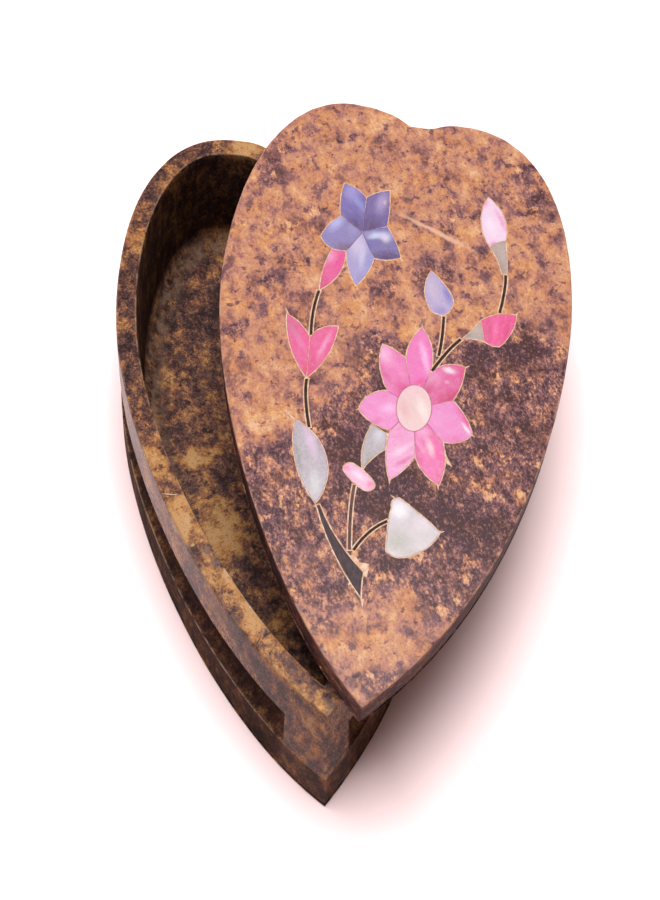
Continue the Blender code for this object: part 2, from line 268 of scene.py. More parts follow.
def uneven(line: list[Vector], base: float, swing: float, size: float, seed: float) -> list[float]:
    """An amount for each point that wavers as handwork does.

    Args:
        line: The points, in metres.
        base: The middle amount.
        swing: How far it goes either way.
        size: The length of a wave, in metres.
        seed: A number that gives each line its own waves.

    Returns:
        One amount for each point.
    """
    return [base + swing * noise.noise(Vector((point.x / size, point.y / size, seed)))
            for point in line]


@dataclass(frozen=True)
class Lobe:
    """One half of the heart. Sideways values are shares of its width, the others of its length.

    Each pull is the length of a curve's handle at the notch, the lobe's top, the widest place or
    the tip.
    """

    side: int
    notch_pull: float
    top_out: float
    top_up: float
    top_pull_in: float
    top_pull_out: float
    widest_up: float
    widest_pull_up: float
    widest_pull_down: float
    tip_pull_out: float
    tip_pull_up: float


@dataclass(frozen=True)
class HeartPlan:
    """The heart seen from above, along the outer edge of the rim."""

    width: float = 0.0720
    length: float = 0.1390
    notch_up: float = 0.975
    curve_steps: int = 130
    half_steps: int = 330
    left: Lobe = Lobe(side=-1, notch_pull=0.010, top_out=0.169, top_up=1.0, top_pull_in=0.131,
                      top_pull_out=0.189, widest_up=0.639, widest_pull_up=0.215,
                      widest_pull_down=0.194, tip_pull_out=0.285, tip_pull_up=0.137)
    right: Lobe = Lobe(side=1, notch_pull=0.125, top_out=0.189, top_up=0.994, top_pull_in=0.123,
                       top_pull_out=0.204, widest_up=0.683, widest_pull_up=0.184,
                       widest_pull_down=0.129, tip_pull_out=0.413, tip_pull_up=0.221)

    def half(self, lobe: Lobe) -> list[Vector]:
        """One half of the heart as a fine line from the notch to the tip.

        Args:
            lobe: The half's curves.

        Returns:
            The line.
        """

        def at(out: float, up: float) -> Vector:
            """The place of a pair of shares."""
            return Vector((lobe.side * out * self.width, (up - 0.5) * self.length))

        notch = at(0.0, self.notch_up)
        top = at(lobe.top_out, lobe.top_up)
        widest = at(0.5, lobe.widest_up)
        curves = (
            (notch, at(lobe.notch_pull, self.notch_up),
             at(lobe.top_out - lobe.top_pull_in, lobe.top_up), top),
            (top, at(lobe.top_out + lobe.top_pull_out, lobe.top_up),
             at(0.5, lobe.widest_up + lobe.widest_pull_up), widest),
            (widest, at(0.5, lobe.widest_up - lobe.widest_pull_down),
             at(lobe.tip_pull_out, lobe.tip_pull_up), at(0.0, 0.0)))
        line = [notch]
        for curve in curves:
            line += cubic(*curve, self.curve_steps)[1:]
        return line

    def inset_half(self, lobe: Lobe, inset: float) -> list[Vector]:
        """A half moved inwards by inset and cut off, or carried on, at the centre line.

        Args:
            lobe: The half's curves.
            inset: How far it is moved.

        Returns:
            The line.
        """
        line = self.half(lobe)
        moved = []
        for index, point in enumerate(line):
            ahead = line[min(index + 1, len(line) - 1)]
            behind = line[max(index - 1, 0)]
            along = (ahead - behind).normalized()
            moved.append(point + Vector((along.y, -along.x)) * lobe.side * inset)
        moved[0].x = 0.0
        for index in range(len(moved) // 2, len(moved)):
            if moved[index].x * lobe.side <= 0.0 or index == len(moved) - 1:
                before = moved[index - 1]
                along = moved[index] - before
                moved[index] = before - along * (before.x / along.x)
                moved[index].x = 0.0
                return moved[:index + 1]
        return moved

    def outline(self, inset: float = 0.0) -> list[Vector]:
        """Closed outline from the tip up the right side, round the notch and down the left.

        Args:
            inset: How far inside the rim's outer edge it runs.

        Returns:
            The outline, with the same number of points for every inset.
        """
        halves = [resample(self.inset_half(lobe, inset), self.half_steps)
                  for lobe in (self.right, self.left)]
        tip = (halves[0][-1] + halves[1][-1]) / 2
        return [tip] + halves[0][-2::-1] + halves[1][1:-1]


# Meshes


@dataclass
class Ring:
    """One closed ring of a loft, with how much wear and painted sheen, and how much painted shade,
    the stone gets along it.
    """

    points: list[Vector]
    wear_and_sheen: float = 0.0
    painted_shade: float | Sequence[float] = 0.0


def at_height(line: list[Vector], heights: float | Sequence[float]) -> list[Vector]:
    """The outline's points at one height, or at a height for each.

    Args:
        line: The outline.
        heights: The height or heights.

    Returns:
        The points in space.
    """
    if isinstance(heights, float):
        heights = [heights] * len(line)
    return [Vector((point.x, point.y, height)) for point, height in zip(line, heights)]


def quarter(steps: int) -> list[tuple[float, float, float]]:
    """A quarter turn in steps: each angle, one less its sine, and one less its cosine.

    Args:
        steps: How many steps.

    Returns:
        One more row than there are steps.
    """
    turns = [math.pi / 2 * step / steps for step in range(steps + 1)]
    return [(turn, 1.0 - math.sin(turn), 1.0 - math.cos(turn)) for turn in turns]


def loft(bm: bmesh.types.BMesh, rings: list[Ring]) -> bmesh.types.BMFace:
    """Extrudes a cap through the rings to a closed body.

    Args:
        bm: The mesh to add to, with a float layer for vertices that holds wear and painted sheen,
            and one that holds painted shade.
        rings: The rings, in order, with equal numbers of points.

    Returns:
        The last cap.
    """
    wear_and_sheen = bm.verts.layers.float["wear_and_sheen"]
    painted_shade = bm.verts.layers.float["painted_shade"]
    cap = bm.faces.new([bm.verts.new(point) for point in rings[0].points])
    for row in rings[1:]:
        region = [cap] + cap.edges[:] + cap.verts[:]
        grown = bmesh.ops.extrude_face_region(bm, geom=region)["geom"]
        cap = next(item for item in grown if isinstance(item, bmesh.types.BMFace))
        for index, (vert, point) in enumerate(zip(cap.verts, row.points)):
            vert.co = point
            vert[wear_and_sheen] = row.wear_and_sheen
            vert[painted_shade] = row.painted_shade if isinstance(row.painted_shade, float) else row.painted_shade[index]
    return cap


def new_mesh() -> bmesh.types.BMesh:
    """An empty mesh with the layers that the stone reads."""
    bm = bmesh.new()
    bm.verts.layers.float.new("wear_and_sheen")
    bm.verts.layers.float.new("painted_shade")
    return bm


def as_object(bm: bmesh.types.BMesh, name: str, finish: bpy.types.Material | None = None,
              angle: float = SMOOTH_ANGLE) -> bpy.types.Object:
    """The mesh as an object at the origin, with its faces pointing outwards.

    Args:
        bm: The mesh, which is freed.
        name: The object's name.
        finish: Its material, if it has one.
        angle: Edges that turn by more than this stay sharp.

    Returns:
        The object.
    """
    bmesh.ops.recalc_face_normals(bm, faces=bm.faces[:])
    mesh = bpy.data.meshes.new(name)
    bm.to_mesh(mesh)
    bm.free()
    if finish:
        mesh.materials.append(finish)
    mesh.shade_smooth()
    mesh.set_sharp_from_angle(angle=angle)
    made = bpy.data.objects.new(name, mesh)
    bpy.context.scene.collection.objects.link(made)
    return made


def raised(bm: bmesh.types.BMesh, line: list[Vector], low: float, rise: float
           ) -> list[bmesh.types.BMEdge]:
    """Extrudes an outline straight up.

    Args:
        bm: The mesh to add to.
        line: The outline.
        low: The height that it starts from.
        rise: How far it goes up.

    Returns:
        The edges round its top.
    """
    face = bm.faces.new([bm.verts.new((point.x, point.y, low)) for point in line])
    region = [face] + face.edges[:] + face.verts[:]
    grown = bmesh.ops.extrude_face_region(bm, geom=region)["geom"]
    lifted = [item for item in grown if isinstance(item, bmesh.types.BMVert)]
    bmesh.ops.translate(bm, verts=lifted, vec=Vector((0.0, 0.0, rise)))
    return [item for item in grown if isinstance(item, bmesh.types.BMEdge)]


def slab(line: list[Vector], low: float, high: float, name: str) -> bpy.types.Object:
    """A flat slab of an outline between two heights, as an object.

    Args:
        line: The outline.
        low: Its lower height.
        high: Its upper height.
        name: The object's name.

    Returns:
        The object.
    """
    bm = bmesh.new()
    raised(bm, line, low, high - low)
    return as_object(bm, name)


class Cut(Enum):
    """What a Boolean does with the cutters."""

    REMOVE = "DIFFERENCE"
    JOIN = "UNION"


def combine(target: bpy.types.Object, cutters: list[bpy.types.Object], how: Cut) -> None:
    """Joins the cutters to the target, or removes them from it, and clears them away.

    Args:
        target: The object that is changed for good.
        cutters: The helper objects, which are deleted.
        how: What is done with them.
    """
    group = bpy.data.collections.new("cutters")
    for cutter in cutters:
        group.objects.link(cutter)
    modifier = target.modifiers.new("cut", "BOOLEAN")
    modifier.operation = how.value
    modifier.operand_type = "COLLECTION"
    modifier.collection = group
    modifier.solver = "EXACT"
    graph = bpy.context.evaluated_depsgraph_get()
    finished = bpy.data.meshes.new_from_object(target.evaluated_get(graph))
    target.modifiers.clear()
    finished.shade_smooth()
    finished.set_sharp_from_angle(angle=SMOOTH_ANGLE)
    target.data = finished
    bpy.data.collections.remove(group)
    for cutter in cutters:
        bpy.data.objects.remove(cutter, do_unlink=True)


# Materials


class Nodes:
    """Adds nodes to a tree. Each input takes a socket, which is linked, or a plain value."""

    def __init__(self, tree: bpy.types.NodeTree) -> None:
        """Keeps the tree that the nodes go into."""
        self.tree = tree

    def put(self, socket: Socket, value: Socket | float | Sequence[float]) -> None:
        """Links a socket to an input, or sets the input's own value.

        Args:
            socket: The input.
            value: Another node's output, or a plain value.
        """
        if isinstance(value, bpy.types.NodeSocket):
            self.tree.links.new(value, socket)
        elif socket.type == "RGBA":
            socket.default_value = (*value[:3], 1.0)
        else:
            socket.default_value = value

    def add(self, kind: str, inputs: dict | None = None, **settings) -> bpy.types.Node:
        """A new node with its settings and inputs.

        Args:
            kind: Its type.
            inputs: Values or sockets by the input's name or number.
            settings: Its own properties.

        Returns:
            The node.
        """
        node = self.tree.nodes.new(kind)
        for name, value in settings.items():
            setattr(node, name, value)
        for name, value in (inputs or {}).items():
            self.put(node.inputs[name], value)
        return node

    def calc(self, operation: str, first: Socket | float, second: Socket | float = 0.0,
             third: Socket | float = 0.0) -> Socket:
        """The result of a Math node.

        Args:
            operation: What it does.
            first: Its first value.
            second: Its second value.
            third: Its third value, where it reads one.

        Returns:
            The result.
        """
        inputs = {0: first, 1: second, 2: third}
        return self.add("ShaderNodeMath", inputs, operation=operation).outputs[0]

    def mix(self, factor: Socket | float, first: Socket | Colour, second: Socket | Colour,
            blend: str = "MIX") -> Socket:
        """Two colours mixed.

        Args:
            factor: The share of the second.
            first: The first colour.
            second: The second colour.
            blend: How they are mixed.

        Returns:
            The colour.
        """
        node = self.add("ShaderNodeMix", data_type="RGBA", blend_type=blend)
        self.put(node.inputs[0], factor)
        self.put(node.inputs[6], first)
        self.put(node.inputs[7], second)
        return node.outputs[2]

    def tinted(self, mask: Socket, share: Socket | float, under: Socket | Colour,
               over: Socket | Colour) -> Socket:
        """A colour with another laid over it by a share of a mask."""
        return self.mix(self.calc("MULTIPLY", mask, share), under, over)

    def group(self, name: str, **inputs: Socket | float | Sequence[float]) -> Socket:
        """The first output of a shared group.

        Args:
            name: The group's name.
            inputs: Its inputs by name.

        Returns:
            The output.
        """
        node = self.add("ShaderNodeGroup", node_tree=bpy.data.node_groups[name])
        for key, value in inputs.items():
            self.put(node.inputs[key], value)
        return node.outputs[0]

    def aligned(self, vector: Socket, centre: Sequence[float] = (0.0, 0.0, 0.0),
                turn: float = 0.0, scale: Sequence[float] = (1.0, 1.0, 1.0)) -> Socket:
        """The coordinates seen from a place, turned about the vertical and divided by a scale.

        Args:
            vector: The coordinates.
            centre: The place, in metres.
            turn: The angle.
            scale: The divisor along each axis.

        Returns:
            The new coordinates.
        """
        node = self.add("ShaderNodeMapping", {"Vector": vector, "Location": centre,
                                              "Rotation": (0.0, 0.0, turn), "Scale": scale},
                        vector_type="TEXTURE")
        return node.outputs[0]


def new_group(name: str, inputs: dict[str, float | Place], output: str = "Mask"
              ) -> tuple[Nodes, dict[str, Socket], Socket]:
    """Starts a shared group.

    Args:
        name: The group's name.
        inputs: The inputs and their first values; a triple makes a vector.
        output: The output's name.

    Returns:
        The group's nodes, its inputs by name, and the socket to link the result to.
    """
    tree = bpy.data.node_groups.new(name, "ShaderNodeTree")
    for key, value in inputs.items():
        kind = "NodeSocketFloat" if isinstance(value, float) else "NodeSocketVector"
        socket = tree.interface.new_socket(name=key, in_out="INPUT", socket_type=kind)
        socket.default_value = value
    tree.interface.new_socket(name=output, in_out="OUTPUT", socket_type="NodeSocketFloat")
    start = tree.nodes.new("NodeGroupInput")
    end = tree.nodes.new("NodeGroupOutput")
    return Nodes(tree), {socket.name: socket for socket in start.outputs}, end.inputs[0]


def smooth_step(nodes: Nodes, value: Socket, low: Socket | float, high: Socket | float) -> Socket:
    """Goes softly from 0 at low to 1 at high.

    Args:
        nodes: The nodes to add to.
        value: The value.
        low: Where it starts.
        high: Where it ends.

    Returns:
        The share.
    """
    return nodes.add("ShaderNodeMapRange",
                     {"Value": value, "From Min": low, "From Max": high, "To Min": 0.0,
                      "To Max": 1.0}, interpolation_type="SMOOTHSTEP").outputs[0]


def build_blotches() -> None:
    """Irregular patches of a size. Amount adds to their share, and Edge softens their borders."""
    nodes, given, result = new_group("blotches", {"Vector": (0.0, 0.0, 0.0), "Size": 0.004,
                                                  "Amount": 0.0, "Edge": 0.1, "Detail": 3.0,
                                                  "Rough": 0.6})
    scale = nodes.calc("DIVIDE", 1.0, given["Size"])
    clouds = nodes.add("ShaderNodeTexNoise", {"Vector": given["Vector"], "Scale": scale,
                                              "Detail": given["Detail"],
                                              "Roughness": given["Rough"]})
    value = nodes.calc("ADD", clouds.outputs[0], given["Amount"])
    low = nodes.calc("SUBTRACT", 0.5, given["Edge"])
    high = nodes.calc("ADD", 0.5, given["Edge"])
    nodes.put(result, smooth_step(nodes, value, low, high))


def build_soft_area() -> None:
    """One within a unit ball and fading to none at its skin."""
    nodes, given, result = new_group("soft_area", {"Vector": (0.0, 0.0, 0.0), "Softness": 0.6})
    far = nodes.add("ShaderNodeVectorMath", {0: given["Vector"]}, operation="LENGTH")
    full = nodes.calc("SUBTRACT", 1.0, given["Softness"])
    nodes.put(result, smooth_step(nodes, far.outputs["Value"], 1.0, full))


def build_specks() -> None:
    """Separate small spots, one in a share of the cells of a size."""
    nodes, given, result = new_group("specks", {"Vector": (0.0, 0.0, 0.0), "Size": 0.001,
                                                "Share": 0.3, "Radius": 0.35})
    scale = nodes.calc("DIVIDE", 1.0, given["Size"])
    cells = nodes.add("ShaderNodeTexVoronoi", {"Vector": given["Vector"], "Scale": scale})
    chance = nodes.add("ShaderNodeSeparateColor", {"Color": cells.outputs["Color"]})
    picked = nodes.calc("LESS_THAN", chance.outputs[0], given["Share"])
    core = nodes.calc("MULTIPLY", given["Radius"], 0.5)
    spot = smooth_step(nodes, cells.outputs["Distance"], given["Radius"], core)
    nodes.put(result, nodes.calc("MULTIPLY", picked, spot))


def build_wear_and_sheen_edge() -> None:
    """Wear and painted sheen, broken up as handling does it."""
    nodes, given, result = new_group("wear_and_sheen_edge", {"Vector": (0.0, 0.0, 0.0), "Worn": 0.0,
                                                   "Share": 0.5})
    broken = nodes.group("blotches", Vector=given["Vector"], Size=0.0028, Edge=0.12,
                         Amount=nodes.calc("SUBTRACT", given["Share"], 0.5))
    nodes.put(result, nodes.calc("MULTIPLY", given["Worn"], broken))


def build_grain_relief() -> None:
    """Height of polished stone: faint pores between fine grains."""
    nodes, given, result = new_group("grain_relief", {"Vector": (0.0, 0.0, 0.0)}, "Height")
    grains = nodes.add("ShaderNodeTexNoise", {"Vector": given["Vector"], "Scale": 2200.0,
                                              "Detail": 2.0})
    pores = nodes.group("specks", Vector=given["Vector"], Size=0.0011, Share=0.25, Radius=0.3)
    deep = nodes.calc("MULTIPLY", pores, -0.9)
    nodes.put(result, nodes.calc("MULTIPLY_ADD", grains.outputs[0], 0.5, deep))


def build_groups() -> None:
    """Makes the shared groups, the ones that others use first."""
    build_blotches()
    build_soft_area()
    build_specks()
    build_wear_and_sheen_edge()
    build_grain_relief()


def new_material(name: str) -> tuple[bpy.types.Material, Nodes, bpy.types.Node, Socket]:
    """A material, its nodes, its shader and the object coordinates.

    Args:
        name: The material's name.

    Returns:
        The four, in that order.
    """
    made = bpy.data.materials.new(name)
    made.use_nodes = True
    nodes = Nodes(made.node_tree)
    shader = made.node_tree.nodes["Principled BSDF"]
    place = nodes.add("ShaderNodeTexCoord").outputs["Object"]
    return made, nodes, shader, place


def warped(nodes: Nodes, place: Socket, size: float, reach: float) -> Socket:
    """Coordinates pushed about by soft waves of a size, by up to about half a reach.

    Args:
        nodes: The nodes to add to.
        place: The coordinates.
        size: The waves' size, in metres.
        reach: The reach, in metres.

    Returns:
        The pushed coordinates.
    """
    waves = nodes.add("ShaderNodeTexNoise", {"Vector": place, "Scale": 1.0 / size, "Detail": 2.0})
    centred = nodes.add("ShaderNodeVectorMath", {0: waves.outputs["Color"], 1: (0.5, 0.5, 0.5)},
                        operation="SUBTRACT")
    pushed = nodes.add("ShaderNodeVectorMath", {0: centred.outputs[0], 1: (reach, reach, reach),
                                                2: place}, operation="MULTIPLY_ADD")
    return pushed.outputs[0]


def dress(nodes: Nodes, shader: bpy.types.Node, colour: Socket, roughness: Socket,
          height: Socket, strength: float, depth: float) -> None:
    """Wires a finish to its shader.

    Args:
        nodes: The material's nodes.
        shader: Its shader.
        colour: Its colour.
        roughness: Its roughness.
        height: The height of its fine relief.
        strength: How much of the relief shows.
        depth: The depth of the relief, in metres.
    """
    nodes.put(shader.inputs["Base Color"], colour)
    nodes.put(shader.inputs["Roughness"], roughness)
    bump = nodes.add("ShaderNodeBump", {"Height": height, "Strength": strength,
                                        "Distance": depth})
    nodes.put(shader.inputs["Normal"], bump.outputs[0])


@dataclass(frozen=True)
class StoneArea:
    """A region in millimetres, turned in degrees, where the stone is darker or lighter."""

    centre: Place
    radii: Place
    push: float
    turn: float = 0.0
    softness: float = 0.6


@dataclass(frozen=True)
class Mark:
    """A thin line or a small spot: its middle and half sizes in millimetres, and its turn."""

    centre: Place
    radii: Place
    turn: float
    colour: Colour
    strength: float = 0.8
    wander: float = 0.5


def area_mask(nodes: Nodes, vector: Socket, area: StoneArea | Mark, softness: float) -> Socket:
    """One in the middle of a region or a mark, fading to none at its edge.

    Args:
        nodes: The nodes to add to.
        vector: The coordinates.
        area: The region or mark.
        softness: The share of its size that it fades over.

    Returns:
        The mask.
    """
    local = nodes.aligned(vector, [part * MM for part in area.centre], math.radians(area.turn),
                          [part * MM for part in area.radii])
    return nodes.group("soft_area", Vector=local, Softness=softness)


@dataclass(frozen=True)
class StoneFinish:
    """Polished patchy stone. Sizes are in millimetres.

    The stone is graded by one tone, low where it is palest and high where it is darkest. shades
    gives the colours along that tone.
    """

    name: str
    shades: tuple[tuple[float, Colour], ...]
    warm: Colour
    salt: Colour
    pepper: Colour
    tone: float
    areas: tuple[StoneArea, ...]
    # The colours of the wear with its painted highlights and sheen, and of the painted shade.
    wear_and_sheen: Colour
    painted_shade: Colour
    grain_turn: float = 8.0
    grain_stretch: float = 1.6
    grain_rise: float = 1.0
    patch_size: float = 5.0
    patch_swing: float = 0.56
    calm: float = 0.3
    mottle_size: float = 1.8
    mottle_swing: float = 0.45
    speckle_size: float = 0.55
    speckle_swing: float = 0.26
    deep_swing: float = 0.40
    grit_size: float = 0.28
    grit_swing: float = 0.15
    island_size: float = 4.2
    island_amount: float = -0.12
    island_push: float = 0.13
    blob_size: float = 2.6
    blob_amount: float = -0.118
    blob_push: float = -0.25
    blob_edge: float = 0.03
    dot_size: float = 1.9
    dot_amount: float = -0.15
    salt_strength: float = 0.40
    pepper_strength: float = 0.3
    dot_push: float = 0.18
    salt_size: float = 0.6
    pepper_size: float = 0.48
    hue_size: float = 5
    roughness: float = 0.25
    gloss: float = 0.06
    deep_from: float = 0.50
    deep_to: float = 0.58
    # How far the painted shade covers the stone's colour, and how much it dulls the surface.
    painted_shade_cover: float = 0.9
    painted_shade_dullness: float = 0.75
    mark_softness: float = 0.8
    marks: tuple[Mark, ...] = ()

    def clouds(self, nodes: Nodes, vector: Socket, size: float, detail: float,
               swing: Socket | float, total: Socket | float) -> Socket:
        """Adds noise of a size, with a swing, to a total.

        Args:
            nodes: The nodes to add to.
            vector: The coordinates.
            size: The noise's size, in millimetres.
            detail: Its detail.
            swing: How strong it is.
            total: What it is added to.

        Returns:
            The new total.
        """
        noise_at = nodes.add("ShaderNodeTexNoise", {"Vector": vector, "Scale": 1 / (size * MM),
                                                    "Detail": detail, "Roughness": 0.55})
        centred = nodes.calc("SUBTRACT", noise_at.outputs[0], 0.5)
        return nodes.calc("MULTIPLY_ADD", centred, swing, total)

    def area_tone(self, nodes: Nodes, place: Socket) -> Socket | float:
        """The stone's tone with its regions, before its patches.

        Args:
            nodes: The nodes to add to.
            place: The object coordinates.

        Returns:
            The tone.
        """
        wavy = warped(nodes, place, 9 * MM, 9 * MM)
        total: Socket | float = self.tone
        for area in self.areas:
            mask = area_mask(nodes, wavy, area, area.softness)
            total = nodes.calc("MULTIPLY_ADD", mask, area.push, total)
        return total

    def build(self) -> bpy.types.Material:
        """The material."""
        made, nodes, shader, place = new_material(self.name)
        grain = nodes.aligned(place, turn=math.radians(self.grain_turn),
                              scale=(1.0, self.grain_stretch, self.grain_rise))
        tone = self.area_tone(nodes, place)
        deep = smooth_step(nodes, tone, self.deep_from, self.deep_to)
        calm = nodes.calc("MULTIPLY_ADD", deep, -self.calm * self.patch_swing, self.patch_swing)
        tone = self.clouds(nodes, grain, self.patch_size, 5.0, calm, tone)
        islands = nodes.group("blotches", Vector=grain, Size=self.island_size * MM,
                              Amount=self.island_amount, Edge=0.05, Detail=5.0)
        islands = nodes.calc("MULTIPLY", islands, nodes.calc("SUBTRACT", 1.0, deep))
        tone = nodes.calc("MULTIPLY_ADD", islands, self.island_push, tone)
        for size, swing in ((self.mottle_size, self.mottle_swing),
                            (self.speckle_size, self.speckle_swing),
                            (self.grit_size, self.grit_swing)):
            swing = nodes.calc("MULTIPLY_ADD", deep, self.deep_swing, swing)
            tone = self.clouds(nodes, grain, size, 2.0, swing, tone)
        blobs = nodes.group("blotches", Vector=grain, Size=self.blob_size * MM,
                            Amount=self.blob_amount, Edge=self.blob_edge, Detail=3.0)
        blobs = nodes.calc("MULTIPLY", blobs, deep)
        tone = nodes.calc("MULTIPLY_ADD", blobs, self.blob_push, tone)
        dots = nodes.group("blotches", Vector=place, Size=self.dot_size * MM,
                           Amount=self.dot_amount, Edge=0.04, Detail=2.0)
        tone = nodes.calc("MULTIPLY_ADD", dots, self.dot_push, tone)
        colour = self.graded(nodes, tone)
        hue = nodes.group("blotches", Vector=place, Size=self.hue_size * MM, Amount=-0.03,
                          Edge=0.12)
        warmed = nodes.mix(1.0, colour, self.warm, "MULTIPLY")
        colour = nodes.mix(hue, colour, warmed)
        salt = nodes.group("blotches", Vector=grain, Size=self.salt_size * MM, Amount=-0.10,
                           Edge=0.05, Detail=3.0)
        salted = nodes.calc("MULTIPLY_ADD", deep, 0.6, 0.4)
        salted = nodes.calc("MULTIPLY", salted, self.salt_strength)
        colour = nodes.tinted(salt, salted, colour, self.salt)
        pepper = nodes.group("blotches", Vector=place, Size=self.pepper_size * MM, Amount=-0.11,
                             Edge=0.05, Detail=1.0)
        colour = nodes.tinted(pepper, self.pepper_strength, colour, self.pepper)
        for mark in self.marks:
            colour = self.marked(nodes, place, mark, colour)
        # Painted shade: a vertex layer darkens the stone in the groove, below it, on the cavity
        # walls, at the underside's edge and on the lid's sides.
        painted_shade_mask = nodes.add("ShaderNodeAttribute", attribute_name="painted_shade").outputs["Fac"]
        colour = nodes.tinted(painted_shade_mask, self.painted_shade_cover, colour, self.painted_shade)
        # Wear with painted highlights along edges and a painted sheen band on the cavity's foot
        # lighten the stone.
        rubbed = nodes.add("ShaderNodeAttribute", attribute_name="wear_and_sheen").outputs["Fac"]
        wear_and_sheen_mask = nodes.group("wear_and_sheen_edge", Vector=place, Worn=rubbed, Share=0.5)
        colour = nodes.mix(wear_and_sheen_mask, colour, self.wear_and_sheen)
        shader.inputs["Specular IOR Level"].default_value = self.gloss
        dull = nodes.calc("MULTIPLY_ADD", salt, 0.12, self.roughness)
        roughness = nodes.calc("MULTIPLY_ADD", painted_shade_mask, self.painted_shade_dullness, dull)
        relief = nodes.group("grain_relief", Vector=grain)
        dress(nodes, shader, colour, roughness, relief, 0.22, 0.00008)
        return made

    def graded(self, nodes: Nodes, tone: Socket) -> Socket:
        """The colour for a tone.

        Args:
            nodes: The nodes to add to.
            tone: The tone.

        Returns:
            The colour.
        """
        ramp = nodes.add("ShaderNodeValToRGB", {"Fac": tone})
        elements = ramp.color_ramp.elements
        for index, (place, colour) in enumerate(self.shades):
            element = elements[index] if index < 2 else elements.new(place)
            element.position = place
            element.color = (*colour, 1.0)
        return ramp.outputs[0]

    def marked(self, nodes: Nodes, place: Socket, mark: Mark, colour: Socket) -> Socket:
        """The stone's colour with a thin line or a spot on it.

        Args:
            nodes: The nodes to add to.
            place: The object coordinates.
            mark: The mark.
            colour: The stone's colour.

        Returns:
            The colour with the mark.
        """
        wavy = warped(nodes, place, 4 * MM, mark.wander * MM)
        mask = area_mask(nodes, wavy, mark, self.mark_softness)
        return nodes.tinted(mask, mark.strength, colour, mark.colour)


@dataclass(frozen=True)
class TintAndHighlight:
    """A soft patch of colour on a shell. Some are the shell's own colours, and some are painted
    highlights.

    across and along run from -1 to 1 over the piece, to the right and away from the heart's tip.
    wide and long are its reach in millimetres, look is its colour in display values and turn leans
    it, in degrees.
    """

    across: float
    along: float
    wide: float
    long: float
    look: Look
    strength: float = 1.0
    turn: float = 0.0


@dataclass(frozen=True)
class ShellFinish:
    """Polished dyed mother-of-pearl: a base colour with soft patches, painted highlights among
    them, and faint growth lines.
    """

    base: Look
    tints_and_highlights: tuple[TintAndHighlight, ...]
    lines_turn: float = 0.0
    lines: float = 0.06
    line_colour: Colour = seen(255, 238, 246)
    cloud_colour: Colour = (0.02, 0.01, 0.02)
    coat: float = 0.20
    coat_roughness: float = 0.12

    def build(self, name: str, low: Vector, high: Vector) -> bpy.types.Material:
        """The material, laid out over a piece.

        Args:
            name: The material's name.
            low: The lowest corner of the piece's box.
            high: The highest corner of the piece's box.

        Returns:
            The material.
        """
        made, nodes, shader, place = new_material(name)
        wavy = warped(nodes, place, 2.6 * MM, 0.9 * MM)
        middle = (low + high) / 2
        half = (high - low) / 2
        colour: Socket | Colour = seen(*self.base)
        for tint_and_highlight in self.tints_and_highlights:
            centre = (middle.x + tint_and_highlight.across * half.x, middle.y + tint_and_highlight.along * half.y, middle.z)
            reach = (tint_and_highlight.wide * MM, tint_and_highlight.long * MM, 1.0)
            local = nodes.aligned(wavy, centre, math.radians(tint_and_highlight.turn), reach)
            mask = nodes.group("soft_area", Vector=local, Softness=0.95)
            colour = nodes.tinted(mask, tint_and_highlight.strength, colour, seen(*tint_and_highlight.look))
        ribs = nodes.aligned(wavy, middle, math.radians(self.lines_turn), (1.0, 5.0, 1.0))
        lines = nodes.group("blotches", Vector=ribs, Size=0.5 * MM, Amount=0.0, Edge=0.25,
                            Detail=2.0)
        colour = nodes.tinted(lines, self.lines, colour, self.line_colour)
        cloud = nodes.group("blotches", Vector=place, Size=1.6 * MM, Amount=0.0, Edge=0.2)
        colour = nodes.tinted(cloud, 0.10, colour, self.cloud_colour)
        shader.inputs["Coat Weight"].default_value = self.coat
        shader.inputs["Coat Roughness"].default_value = self.coat_roughness
        roughness = nodes.calc("MULTIPLY_ADD", cloud, 0.12, 0.20)
        dress(nodes, shader, colour, roughness, lines, 0.12, 0.00004)
        return made


@dataclass(frozen=True)
class StemFinish:
    """Dark slate-like inlay with a brown cast and faint scratches along it."""

    name: str
    dark: Colour
    light: Colour
    gloss: float = 0.08

    def build(self) -> bpy.types.Material:
        """The material."""
        made, nodes, shader, place = new_material(self.name)
        grain = nodes.aligned(place, scale=(1.0, 4.0, 1.0))
        streaks = nodes.group("blotches", Vector=grain, Size=0.5 * MM, Amount=0.0, Edge=0.15)
        roughness = nodes.calc("MULTIPLY_ADD", streaks, 0.15, 0.42)
        shader.inputs["Specular IOR Level"].default_value = self.gloss
        colour = nodes.mix(streaks, self.dark, self.light)
        dress(nodes, shader, colour, roughness, streaks, 0.3, 0.00005)
        return made


@dataclass(frozen=True)
class FillerFinish:
    """Cream filler, stained darker in the tight seams between petals."""

    cream: Colour
    peach: Colour
    seams: tuple[Mark, ...]
    seam_softness: float = 0.25

    def build(self) -> bpy.types.Material:
        """The material."""
        made, nodes, shader, place = new_material("cream_filler")
        mottle = nodes.group("blotches", Vector=place, Size=1.1 * MM, Amount=0.0, Edge=0.12)
        colour = nodes.mix(mottle, self.cream, self.peach)
        for seam in self.seams:
            mask = area_mask(nodes, place, seam, self.seam_softness)
            colour = nodes.tinted(mask, seam.strength, colour, seam.colour)
        roughness = nodes.calc("MULTIPLY_ADD", mottle, 0.15, 0.50)
        dress(nodes, shader, colour, roughness, mottle, 0.3, 0.00005)
        return made


def lid_area(across: float, along: float, wide: float, long: float, push: float,
             softness: float = 0.6) -> StoneArea:
    """A region of the lid's top that goes on through the slab."""
    return StoneArea((across, along, LID_UP), (wide, long, THROUGH), push, 0.0, softness)


def rim_mark(across: float, along: float, radii: Place, turn: float, look: Look,
             strength: float = 0.8) -> Mark:
    """A mark on the flat of the rim."""
    return Mark((across, along, RIM_UP), radii, turn, seen(*look), strength)


